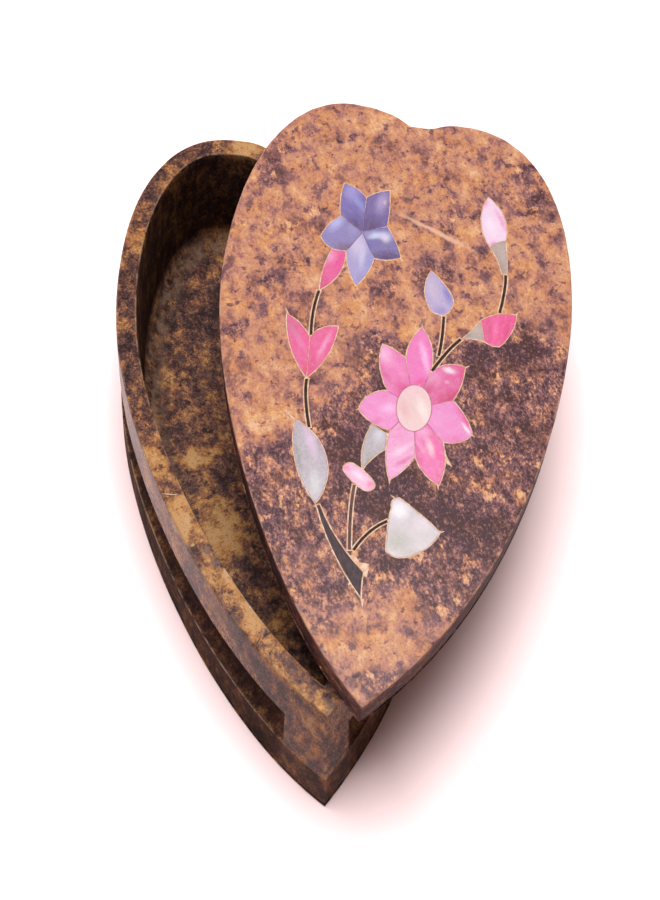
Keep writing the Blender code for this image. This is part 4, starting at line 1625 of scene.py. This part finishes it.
SHELLS = {
    "blue_petal_1": ShellFinish((122, 108, 178), (
        TintAndHighlight(-0.1, -0.8, 3.2, 5.0, (98, 78, 134)),
        TintAndHighlight(0.0, 0.65, 2.8, 4.4, (168, 154, 216), 0.9),
        # Painted sheen.
        TintAndHighlight(0.45, 0.15, 1.3, 4.8, (148, 154, 220), 0.75, 25.0)), 20.0),
    "blue_petal_2": ShellFinish((116, 98, 160), (
        TintAndHighlight(-0.4, -0.8, 3.4, 4.4, (92, 68, 122)),
        TintAndHighlight(0.45, 0.45, 2.2, 4.6, (176, 158, 204), 0.95, -20.0),
        TintAndHighlight(0.62, 0.42, 0.6, 0.9, (226, 188, 190), 0.8)), -20.0),
    "blue_petal_3": ShellFinish((128, 116, 174), (
        TintAndHighlight(0.2, -0.9, 6.0, 2.8, (92, 64, 118)),
        # Painted highlights: a pale band along the top and two whiter patches.
        TintAndHighlight(0.0, 0.55, 6.0, 1.9, (178, 174, 224), 0.9, -10.0),
        TintAndHighlight(-0.30, 0.52, 2.6, 1.1, (214, 222, 250), 0.8, 12.0),
        TintAndHighlight(0.25, 0.36, 1.5, 1.9, (232, 220, 240), 0.85, 30.0),
        TintAndHighlight(-0.75, -0.1, 1.6, 1.6, (112, 106, 186), 0.8)), 60.0),
    "blue_petal_4": ShellFinish((174, 164, 212), (
        TintAndHighlight(-0.1, 0.55, 2.8, 5.4, (214, 200, 230), 0.9),
        TintAndHighlight(0.15, 0.1, 0.9, 5.0, (208, 204, 236), 0.8, -12.0),
        TintAndHighlight(0.75, 0.0, 1.2, 5.0, (146, 150, 218), 0.8, -12.0),
        TintAndHighlight(0.0, -0.9, 2.2, 3.8, (154, 144, 204), 0.9)), -10.0),
    "blue_petal_5": ShellFinish((144, 132, 188), (
        TintAndHighlight(-0.2, 0.7, 4.0, 2.2, (190, 188, 244), 0.95, 60.0),
        TintAndHighlight(0.1, -0.85, 4.4, 2.2, (128, 98, 132), 0.9),
        TintAndHighlight(0.6, 0.2, 1.7, 2.6, (160, 152, 204), 0.8)), 40.0),
    "blue_flower_cup": ShellFinish((236, 92, 156), (
        TintAndHighlight(-0.1, 0.75, 2.2, 3.4, (250, 160, 208), 0.9),
        TintAndHighlight(0.6, 0.3, 1.2, 4.0, (236, 74, 150), 0.7, -20.0),
        TintAndHighlight(-0.7, -0.8, 1.8, 3.4, (214, 78, 122), 0.85)), -20.0),
    "pink_leaf_left": ShellFinish((234, 92, 150), (
        TintAndHighlight(-0.6, 0.6, 2.0, 5.0, (214, 104, 146), 0.9, 20.0),
        TintAndHighlight(0.1, 0.1, 1.1, 5.0, (244, 128, 186), 0.7, 22.0),
        TintAndHighlight(0.8, 0.1, 1.2, 6.0, (244, 84, 152), 0.8, 10.0),
        TintAndHighlight(0.7, -0.9, 2.0, 3.4, (222, 78, 96), 0.8)), 22.0),
    "pink_leaf_right": ShellFinish((236, 94, 152), (
        TintAndHighlight(0.1, 0.2, 0.9, 6.0, (248, 158, 200), 0.85, -28.0),
        TintAndHighlight(0.75, 0.3, 1.6, 4.0, (240, 88, 158), 0.8, -28.0),
        TintAndHighlight(-0.7, -0.6, 1.4, 5.0, (226, 74, 132), 0.9, -20.0)), -28.0),
    "pink_petal_1": ShellFinish((244, 120, 194), (
        TintAndHighlight(0.40, 0.0, 1.1, 6.5, (254, 186, 234), 0.95, 4.0),
        TintAndHighlight(-0.6, 0.0, 1.4, 6.0, (242, 122, 188), 0.8, -8.0),
        TintAndHighlight(0.0, 0.85, 1.8, 3.0, (240, 128, 180), 0.8),
        TintAndHighlight(-0.1, -0.9, 3.0, 2.4, (236, 84, 156), 0.9)), 2.0),
    "pink_petal_2": ShellFinish((228, 98, 160), (
        TintAndHighlight(-0.5, 0.4, 3.0, 3.4, (240, 150, 196), 0.9, -40.0),
        # Painted highlight near the top.
        TintAndHighlight(0.28, 0.70, 1.2, 2.0, (255, 226, 240), 1.0, 60.0),
        TintAndHighlight(0.1, 0.1, 0.8, 0.8, (246, 176, 196), 0.8),
        TintAndHighlight(0.2, -0.8, 5.0, 2.6, (208, 50, 112), 0.9, 20.0),
        TintAndHighlight(-0.8, -0.25, 1.4, 3.4, (214, 78, 132), 0.85, -30.0),
        TintAndHighlight(0.9, 0.5, 1.3, 3.4, (228, 78, 132), 0.8)), -45.0),
    "pink_petal_3": ShellFinish((240, 138, 202), (
        TintAndHighlight(0.95, 0.0, 1.7, 6.5, (232, 78, 152), 0.95, 22.0),
        # Painted highlight near the right edge.
        TintAndHighlight(0.80, -0.42, 0.6, 2.4, (255, 226, 240), 1.0, 24.0),
        TintAndHighlight(-0.5, 0.2, 3.0, 3.0, (242, 154, 210), 0.8),
        TintAndHighlight(0.2, -0.9, 4.0, 1.8, (234, 112, 180), 0.8)), 40.0),
    "pink_petal_4": ShellFinish((238, 104, 172), (
        TintAndHighlight(-0.3, 0.75, 2.2, 2.6, (246, 166, 214), 0.9, 10.0),
        TintAndHighlight(-0.6, 0.3, 0.8, 4.4, (248, 158, 206), 0.7, 22.0),
        # Painted highlight.
        TintAndHighlight(0.1, 0.22, 1.3, 3.0, (253, 206, 220), 1.0, 10.0),
        TintAndHighlight(-0.9, 0.1, 0.8, 5.4, (218, 88, 146), 0.85, 12.0),
        TintAndHighlight(0.65, -0.1, 1.4, 6.0, (242, 84, 162), 0.9, 12.0),
        TintAndHighlight(0.4, -0.9, 1.8, 3.2, (228, 88, 146), 0.9)), 14.0),
    "pink_petal_5": ShellFinish((240, 156, 206), (
        TintAndHighlight(0.0, 0.6, 2.6, 3.4, (240, 140, 196), 0.8, -10.0),
        TintAndHighlight(0.0, 0.0, 3.6, 1.2, (252, 206, 232), 0.9, 28.0),
        TintAndHighlight(0.1, -0.38, 3.6, 0.9, (222, 92, 156), 0.95, 28.0),
        TintAndHighlight(-0.6, -0.9, 1.8, 2.4, (240, 150, 208), 0.8)), -62.0, 0.14),
    "pink_petal_6": ShellFinish((242, 142, 204), (
        TintAndHighlight(0.5, 0.1, 2.8, 2.0, (252, 188, 236), 0.9, 0.0),
        TintAndHighlight(-0.4, -0.6, 2.4, 1.4, (226, 108, 176), 0.9, 30.0),
        TintAndHighlight(-0.9, 0.0, 1.4, 1.8, (232, 128, 180), 0.8),
        TintAndHighlight(0.4, 0.8, 2.4, 1.2, (242, 126, 196), 0.8)), 70.0),
    "pink_petal_7": ShellFinish((240, 122, 186), (
        TintAndHighlight(-0.6, 0.65, 2.4, 4.4, (250, 184, 226), 0.95, 18.0),
        TintAndHighlight(0.5, -0.75, 2.6, 3.6, (222, 72, 142), 0.9, 20.0),
        TintAndHighlight(-0.75, -0.15, 1.0, 4.4, (220, 96, 156), 0.8, 20.0),
        TintAndHighlight(0.2, 0.1, 0.9, 4.4, (248, 142, 200), 0.7, 26.0)), 24.0),
    "pink_flower_centre": ShellFinish((242, 204, 203), (
        TintAndHighlight(0.0, 0.8, 3.4, 2.6, (248, 196, 208), 0.8),
        TintAndHighlight(0.5, -0.1, 1.6, 4.4, (252, 234, 230), 0.9, 10.0),
        TintAndHighlight(-0.6, 0.0, 1.6, 4.0, (234, 178, 176), 0.8, 8.0),
        TintAndHighlight(-0.1, 0.0, 0.8, 2.0, (228, 196, 178), 0.6, 20.0)), 0.0, 0.16),
    "grey_leaf_left": ShellFinish((180, 168, 178), (
        TintAndHighlight(0.1, 0.45, 1.4, 6.0, (224, 190, 220), 0.95, 12.0),
        TintAndHighlight(0.75, 0.4, 0.8, 6.0, (176, 156, 182), 0.8, 14.0),
        TintAndHighlight(-0.8, 0.2, 0.9, 7.0, (146, 140, 142), 0.9, 4.0),
        TintAndHighlight(0.1, -0.55, 1.9, 5.0, (208, 206, 208), 0.9)), 8.0, 0.14),
    "grey_leaf_middle": ShellFinish((182, 172, 177), (
        TintAndHighlight(0.5, 0.5, 1.8, 3.2, (214, 210, 224), 0.95, -20.0),
        TintAndHighlight(-0.5, -0.8, 1.8, 3.4, (156, 148, 132), 0.9, -25.0)), -25.0),
    "white_bud": ShellFinish((198, 184, 189), (
        TintAndHighlight(-0.35, 0.6, 3.0, 3.4, (244, 238, 244), 0.9),
        TintAndHighlight(-0.55, -0.5, 3.8, 4.4, (160, 154, 142), 0.95, 60.0),
        TintAndHighlight(0.45, 0.1, 3.2, 2.6, (222, 206, 216), 0.8, 40.0),
        TintAndHighlight(0.1, -0.95, 5.6, 1.6, (164, 146, 132), 0.9, -8.0),
        TintAndHighlight(0.8, -0.35, 1.6, 1.3, (190, 178, 180), 0.7)), 40.0),
    "small_pink_bud": ShellFinish((246, 178, 212), (
        TintAndHighlight(0.0, 0.1, 1.2, 2.6, (254, 220, 238), 0.95, 40.0),
        TintAndHighlight(0.75, -0.65, 1.3, 1.3, (242, 112, 160), 0.9),
        TintAndHighlight(-0.85, 0.7, 1.2, 1.0, (240, 122, 172), 0.9)), 40.0),
    "blue_bud": ShellFinish((190, 174, 215), (
        TintAndHighlight(-0.4, 0.2, 1.7, 5.0, (208, 188, 214), 0.9, 8.0),
        TintAndHighlight(0.7, -0.1, 1.2, 4.4, (142, 130, 200), 0.95, 8.0),
        TintAndHighlight(-0.1, -0.85, 2.0, 1.8, (158, 140, 200), 0.8)), 5.0),
    "hot_pink_bud": ShellFinish((240, 88, 150), (
        TintAndHighlight(-0.75, 0.0, 1.4, 4.4, (224, 92, 140), 0.8, -10.0),
        TintAndHighlight(-0.3, 0.1, 0.9, 4.4, (250, 118, 178), 0.8, -14.0),
        TintAndHighlight(0.35, 0.0, 0.7, 4.0, (222, 58, 126), 0.8, -24.0)), -24.0),
    "hot_pink_bud_cup": ShellFinish((186, 170, 162), (
        TintAndHighlight(0.4, 0.2, 2.0, 2.2, (204, 180, 168), 0.8),
        TintAndHighlight(-0.6, -0.3, 1.6, 1.6, (168, 158, 152), 0.8)), -45.0),
    "pale_pink_bud": ShellFinish((251, 218, 243), (
        TintAndHighlight(-0.3, -0.2, 1.7, 3.8, (254, 234, 251), 0.95, 8.0),
        TintAndHighlight(0.75, 0.0, 1.0, 5.4, (246, 164, 208), 0.85, 14.0),
        TintAndHighlight(-0.4, 0.85, 1.3, 2.4, (246, 156, 200), 0.8),
        TintAndHighlight(-0.2, -0.95, 1.8, 1.2, (246, 140, 196), 0.9)), 8.0),
    "pale_pink_bud_cup": ShellFinish((186, 166, 158), (
        TintAndHighlight(0.4, 0.3, 1.2, 3.6, (198, 178, 172), 0.8, 8.0),
        TintAndHighlight(-0.2, -0.7, 1.2, 2.6, (164, 150, 138), 0.8)), 8.0),
}

THIN_STEM = StemFinish("dark_brown_inlay", seen(44, 28, 22), seen(74, 52, 42))
BROAD_STEM = StemFinish("slate_grey_inlay", seen(70, 57, 60), seen(94, 78, 81))
PALE_STEM = StemFinish("umber_inlay", seen(88, 62, 58), seen(118, 86, 80))
STEM_FINISHES = {"stem_3": BROAD_STEM, "stem_4": PALE_STEM}


@dataclass
class InlaidLid:
    """The flat stone lid with its recesses, the filler in them and the inlaid pieces.

    shell_cut and stem_cut say how far a recess goes beyond its piece's outline, and how far that
    wavers. Each bite is an overlap that keeps two touching faces apart.
    """

    plan: HeartPlan
    thickness: float = 0.0082
    overhang: float = 0.0006
    skew: float = -0.12
    seat: float = 0.0368
    shift: Plan = (0.0186, -0.0023)
    turn: float = math.radians(-10.5)
    ease: float = 0.0004
    line_width: float = 0.00036
    shell: float = 0.0009
    bed: float = 0.0003
    stem_width: float = 0.0007
    stem_steps: int = 24
    seam_half: float = 0.00007
    shell_ease: float = 0.00007
    grain: float = 0.00045
    side_steps: int = 7
    shell_cut: Plan = (0.15 * MM, 0.10 * MM)
    stem_cut: Plan = (0.02 * MM, 0.05 * MM)
    cut_wave: float = 1.1 * MM
    stem_inset: float = 0.24 * MM
    filler_sink: float = 0.012 * MM
    filler_bite: float = 0.01 * MM
    shell_bite: float = 0.004 * MM

    @property
    def top(self) -> float:
        """The height of the lid's top."""
        return self.seat + self.thickness

    def placed(self, line: list[Vector]) -> list[Vector]:
        """Points of the lid's own plan, turned and moved to where the lid lies."""
        turn = Matrix.Rotation(self.turn, 2)
        return [turn @ point + Vector(self.shift) for point in line]

    def on_lid(self, place: Plan) -> Vector:
        """A place on the lid, from hundredths of the heart's width and length."""
        return Vector((place[0] / 100 * self.plan.width, place[1] / 100 * self.plan.length))

    def petal_outlines(self, flower: Flower) -> list[list[Vector]]:
        """The petals' outlines, each between two seams that run from the hub to the clefts.

        Args:
            flower: The flower.

        Returns:
            The outlines in the lid's own plan.
        """
        centre = self.on_lid(flower.centre)
        hub = self.on_lid(flower.hub)
        outlines = []
        for index, tip in enumerate(flower.tips):
            start = self.on_lid(flower.clefts[index - 1])
            end = self.on_lid(flower.clefts[index])
            corners = [start, self.on_lid(tip), end]
            swells = list(flower.swells[index]) + [0.0]
            if hub.length == 0.0:
                corners.append(centre)
                swells.append(0.0)
            else:
                ways = [math.atan2((cleft - centre).y / hub.y, (cleft - centre).x / hub.x)
                        for cleft in (end, start)]
                turn = (ways[1] - ways[0]) % math.tau
                steps = math.ceil(turn / ARC_STEP_ANGLE)
                for step in range(steps + 1):
                    corners.append(self.on_hub(centre, hub, ways[0] + turn * step / steps))
                    swells.append(0.0)
            outlines.append(sides(corners, swells))
        return outlines

    def on_hub(self, centre: Vector, hub: Vector, way: float) -> Vector:
        """The point of a flower's oval hub in a direction."""
        return centre + Vector((hub.x * math.cos(way), hub.y * math.sin(way)))

    def stem_outline(self, stem: Stem) -> list[Vector]:
        """A strip of even width along a curve through the stem's three points.

        Args:
            stem: The stem.

        Returns:
            Its outline in the lid's own plan.
        """
        start, middle, end = (self.on_lid(place) for place in stem.path)
        handle = middle * 2 - (start + end) / 2
        line = []
        for step in range(self.stem_steps + 1):
            t = step / self.stem_steps
            line.append(start * (1 - t) ** 2 + handle * 2 * t * (1 - t) + end * t * t)
        line.insert(0, start + (start - handle).normalized() * stem.lead * MM)
        line.append(end + (end - handle).normalized() * stem.tail * MM)
        half = (self.stem_width * stem.width + self.line_width) / 2
        right = []
        left = []
        for index, point in enumerate(line):
            ahead = line[min(index + 1, len(line) - 1)]
            along = (ahead - line[max(index - 1, 0)]).normalized()
            across = Vector((along.y, -along.x)) * half
            right.append(point + across)
            left.append(point - across)
        return right + left[::-1]

    def outlines(self) -> dict[str, tuple[str, list[Vector]]]:
        """Every inlaid piece's slot and outline in its place, along the middle of its filler."""
        pieces = {}
        for flower in (BLUE_FLOWER, PINK_FLOWER):
            for number, outline in enumerate(self.petal_outlines(flower), start=1):
                pieces[f"{flower.name}_{number}"] = (flower.finishes[number - 1], outline)
        centre = self.on_lid(PINK_FLOWER.centre)
        hub = self.on_lid(PINK_FLOWER.hub)
        steps = math.ceil(math.tau / ARC_STEP_ANGLE)
        oval = [self.on_hub(centre, hub, math.tau * step / steps) for step in range(steps)]
        pieces["pink_flower_centre"] = ("cream_shell", oval)
        for piece in SHELL_PIECES:
            corners = [self.on_lid(corner) for corner in piece.corners]
            pieces[piece.name] = (piece.finish, sides(corners, piece.swells))
        for stem in STEMS:
            pieces[stem.name] = ("dark_stem", self.stem_outline(stem))
        return {name: (slot, refined(self.placed(line), self.grain))
                for name, (slot, line) in pieces.items()}

    def recesses(self, outlines: dict[str, tuple[str, list[Vector]]], grow: float, low: float,
                 high: float) -> list[bpy.types.Object]:
        """Slabs of the recesses, with their uneven edges and the overruns at their corners.

        Args:
            outlines: The inlaid pieces' slots and outlines.
            grow: How much larger than the filler's edge the slabs are.
            low: Their lower height.
            high: Their upper height.

        Returns:
            The slabs as helper objects.
        """
        slabs = []
        for index, (name, (slot, line)) in enumerate(outlines.items()):
            base, swing = self.stem_cut if slot == "dark_stem" else self.shell_cut
            amounts = uneven(line, base + grow, swing, self.cut_wave, seed=index * 3.7)
            slabs.append(slab(spread(line, amounts), low, high, f"recess_{name}"))
        for index, overrun in enumerate(OVERRUNS):
            start, end = self.placed([self.on_lid(overrun.start), self.on_lid(overrun.end)])
            along = (end - start).normalized()
            across = Vector((along.y, -along.x)) * (overrun.width * MM / 2)
            waist = start.lerp(end, 0.55)
            line = [start + across, waist + across * 0.55, end, waist - across * 0.4,
                    start - across]
            slabs.append(slab(spread(line, grow), low, high, f"overrun_{index}"))
        return slabs

    def stone(self, outlines: dict[str, tuple[str, list[Vector]]]) -> bpy.types.Object:
        """The slab of stone with eased, slightly nicked edges and its recesses.

        Args:
            outlines: The inlaid pieces' slots and outlines.

        Returns:
            The slab as an object.
        """
        line = self.placed([Vector((p.x, p.y + self.skew * p.x))
                            for p in spread(self.plan.outline(), self.overhang)])
        rings = []
        under = uneven(line, base=1.0, swing=0.4, size=5 * MM, seed=21.0)
        # Painted shade on the lid's lower edge and on its sides.
        for _, sunk, eased in quarter(3):
            insets = [-self.ease * eased * share for share in under]
            heights = [self.seat + self.ease * sunk * share for share in under]
            rings.append(Ring(at_height(spread(line, insets), heights), painted_shade=0.5))
        for step in range(1, self.side_steps):
            height = (self.seat + self.ease * 1.5
                      + (self.thickness - self.ease * 3) * step / self.side_steps)
            insets = uneven(line, -0.05 * MM, 0.05 * MM, 8 * MM, height * 130)
            rings.append(Ring(at_height(spread(line, insets), height), painted_shade=0.5))
        over = uneven(line, base=0.95, swing=0.5, size=2.6 * MM, seed=33.0)
        # Wear and a painted highlight along the top edge, with painted shade fading out towards
        # the top.
        for step, (turn, sunk, eased) in enumerate(quarter(4)):
            insets = [-self.ease * eased * share for share in over]
            heights = [self.top - self.ease * sunk * share for share in over]
            rings.append(Ring(at_height(spread(line, insets), heights),
                              wear_and_sheen=math.sin(turn * 2) * 0.7, painted_shade=0.4 - 0.1 * step))
        rings.append(Ring(at_height(spread(line, -self.ease * 2.2), self.top)))
        bm = new_mesh()
        loft(bm, rings)
        made = as_object(bm, "stone_lid", LID_STONE.build())
        cutters = self.recesses(outlines, 0.0, self.top - self.shell - self.bed,
                                self.top + CUTTER_RISE)
        combine(made, cutters, Cut.REMOVE)
        return made

    def filler(self, outlines: dict[str, tuple[str, list[Vector]]]) -> bpy.types.Object:
        """The bed of filler under and round the inlaid pieces.

        Args:
            outlines: The inlaid pieces' slots and outlines.

        Returns:
            The bed as an object.
        """
        high = self.top - self.filler_sink
        parts = self.recesses(outlines, self.filler_bite, self.top - self.shell - self.bed, high)
        made = parts[0]
        combine(made, parts[1:], Cut.JOIN)
        cutters = [slab(spread(line, -self.inset(slot) + self.shell_bite),
                        self.top - self.shell, self.top + CUTTER_RISE, f"hole_{name}")
                   for name, (slot, line) in outlines.items()]
        combine(made, cutters, Cut.REMOVE)
        made.name = "filler_bed"
        made.data.materials.clear()
        made.data.materials.append(FILLER.build())
        return made

    def inset(self, slot: str) -> float:
        """How far a piece lies inside its outline."""
        return self.stem_inset if slot == "dark_stem" else self.seam_half

    def slip(self, name: str, slot: str, line: list[Vector]) -> bpy.types.Object:
        """One inlaid piece with its top edge eased.

        Args:
            name: Its CAD node.
            slot: Its material slot.
            line: Its outline in its place.

        Returns:
            The piece as an object.
        """
        bm = bmesh.new()
        inset = self.inset(slot)
        edge = clear_of(spread(line, -inset), line, inset * 0.96)
        rim = raised(bm, edge, self.top - self.shell, self.shell)
        bmesh.ops.bevel(bm, geom=rim, offset=self.shell_ease, affect="EDGES", segments=2,
                        profile=0.5, material=-1)
        low_corner, high_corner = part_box(name)
        if slot == "dark_stem":
            finish = STEM_FINISHES.get(name, THIN_STEM).build()
        else:
            finish = SHELLS[name].build(f"{name}_pearl", low_corner, high_corner)
        made = as_object(bm, f"inlay_{name}", finish, ARRIS_ANGLE)
        for face in made.data.polygons:
            face.use_smooth = abs(face.normal.z) < FLAT_NORMAL
        return made

    def build(self) -> list[bpy.types.Object]:
        """Makes the lid's pieces and puts them in their CAD solids' places."""
        outlines = self.outlines()
        stone = self.stone(outlines)
        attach(stone, BODY)
        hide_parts("lid")
        filler = self.filler(outlines)
        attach(filler, BODY)
        made = [stone, filler]
        for name, (slot, line) in outlines.items():
            piece = self.slip(name, slot, line)
            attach(piece, BODY)
            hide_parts(name)
            made.append(piece)
        return made


# Studio


@dataclass(frozen=True)
class SoftLight:
    """A square soft white light: its place, what it points at, its side and its power."""

    name: str
    place: Place
    aim: Place
    side: float
    power: float

    def build(self) -> None:
        """Adds the light."""
        data = bpy.data.lights.new(self.name, "AREA")
        data.shape = "SQUARE"
        data.size = self.side
        data.energy = self.power
        made = bpy.data.objects.new(self.name, data)
        made.location = self.place
        way = Vector(self.aim) - Vector(self.place)
        made.rotation_euler = way.to_track_quat("-Z", "Y").to_euler()
        bpy.context.scene.collection.objects.link(made)


@dataclass
class Studio:
    """The pale floor, the soft lights, the sky and the camera."""

    floor_colour: Colour = (0.98, 0.775, 0.78)
    floor_reach: float = 3.0
    floor_drop: float = 0.00005
    sky_colour: Colour = (1.0, 0.64, 0.555)
    sky: float = 0.154
    aim: Place = (0.00910, 0.00789, 0.0)
    distance: float = 0.3765
    bearing: float = -0.1523
    elevation: float = 1.0472
    roll: float = 0.0649
    lens: float = 66.31
    lights: tuple[SoftLight, ...] = (
        SoftLight("key", (-0.018, 0.10, 0.95), (0.0, 0.0, 0.0), 0.50, 15.0),
        SoftLight("back", (0.05, 0.95, 0.75), (0.0, 0.0, 0.0), 0.80, 0.9),
        SoftLight("front", (-0.55, -0.65, 0.55), (0.0, 0.0, 0.0), 0.60, 0.5))

    def add_floor(self) -> None:
        """Adds the floor."""
        bm = bmesh.new()
        bmesh.ops.create_grid(bm, x_segments=1, y_segments=1, size=self.floor_reach)
        made, nodes, shader, place = new_material("pale_floor")
        faint = nodes.group("blotches", Vector=place, Size=0.02, Amount=0.0, Edge=0.3)
        deeper = tuple(part * 0.985 for part in self.floor_colour)
        nodes.put(shader.inputs["Base Color"], nodes.mix(faint, self.floor_colour, deeper))
        shader.inputs["Roughness"].default_value = 0.8
        floor = as_object(bm, "floor", made)
        floor.location.z = -self.floor_drop

    def add_sky(self) -> None:
        """Adds even light from all round."""
        world = bpy.data.worlds.new("studio")
        world.use_nodes = True
        background = world.node_tree.nodes["Background"]
        background.inputs["Color"].default_value = (*self.sky_colour, 1.0)
        background.inputs["Strength"].default_value = self.sky
        bpy.context.scene.world = world

    def add_camera(self) -> None:
        """Adds the camera at the picture's viewing angle."""
        flat = math.cos(self.elevation)
        back = Vector((math.sin(self.bearing) * flat, -math.cos(self.bearing) * flat,
                       math.sin(self.elevation)))
        across = Vector((0.0, 0.0, 1.0)).cross(back).normalized()
        up = back.cross(across)
        c = math.cos(self.roll)
        s = math.sin(self.roll)
        across, up = across * c + up * s, up * c - across * s
        data = bpy.data.cameras.new("camera")
        data.lens = self.lens
        data.sensor_width = 36.0
        data.sensor_fit = "AUTO"
        data.clip_start = 0.01
        made = bpy.data.objects.new("camera", data)
        turn = Matrix((across, up, back)).transposed().to_4x4()
        made.matrix_world = Matrix.Translation(Vector(self.aim) + back * self.distance) @ turn
        bpy.context.scene.collection.objects.link(made)
        bpy.context.scene.camera = made

    def build(self) -> None:
        """Adds everything."""
        self.add_floor()
        self.add_sky()
        for light in self.lights:
            light.build()
        self.add_camera()
        bpy.context.scene.view_settings.view_transform = "Standard"


def corners(box: Sequence[Vector]) -> list[list[float]]:
    """A box's corners as plain lists."""
    return [list(corner) for corner in box]


def main() -> None:
    """Loads the solids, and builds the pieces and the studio."""
    logging.basicConfig(level=logging.INFO)
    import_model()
    build_groups()
    Studio().build()
    plan = HeartPlan()
    made = [BoxBody(plan).build()] + InlaidLid(plan).build()
    for piece in made:
        LOG.info("%s: %d faces", piece.name, len(piece.data.polygons))


if __name__ == "__main__":
    main()
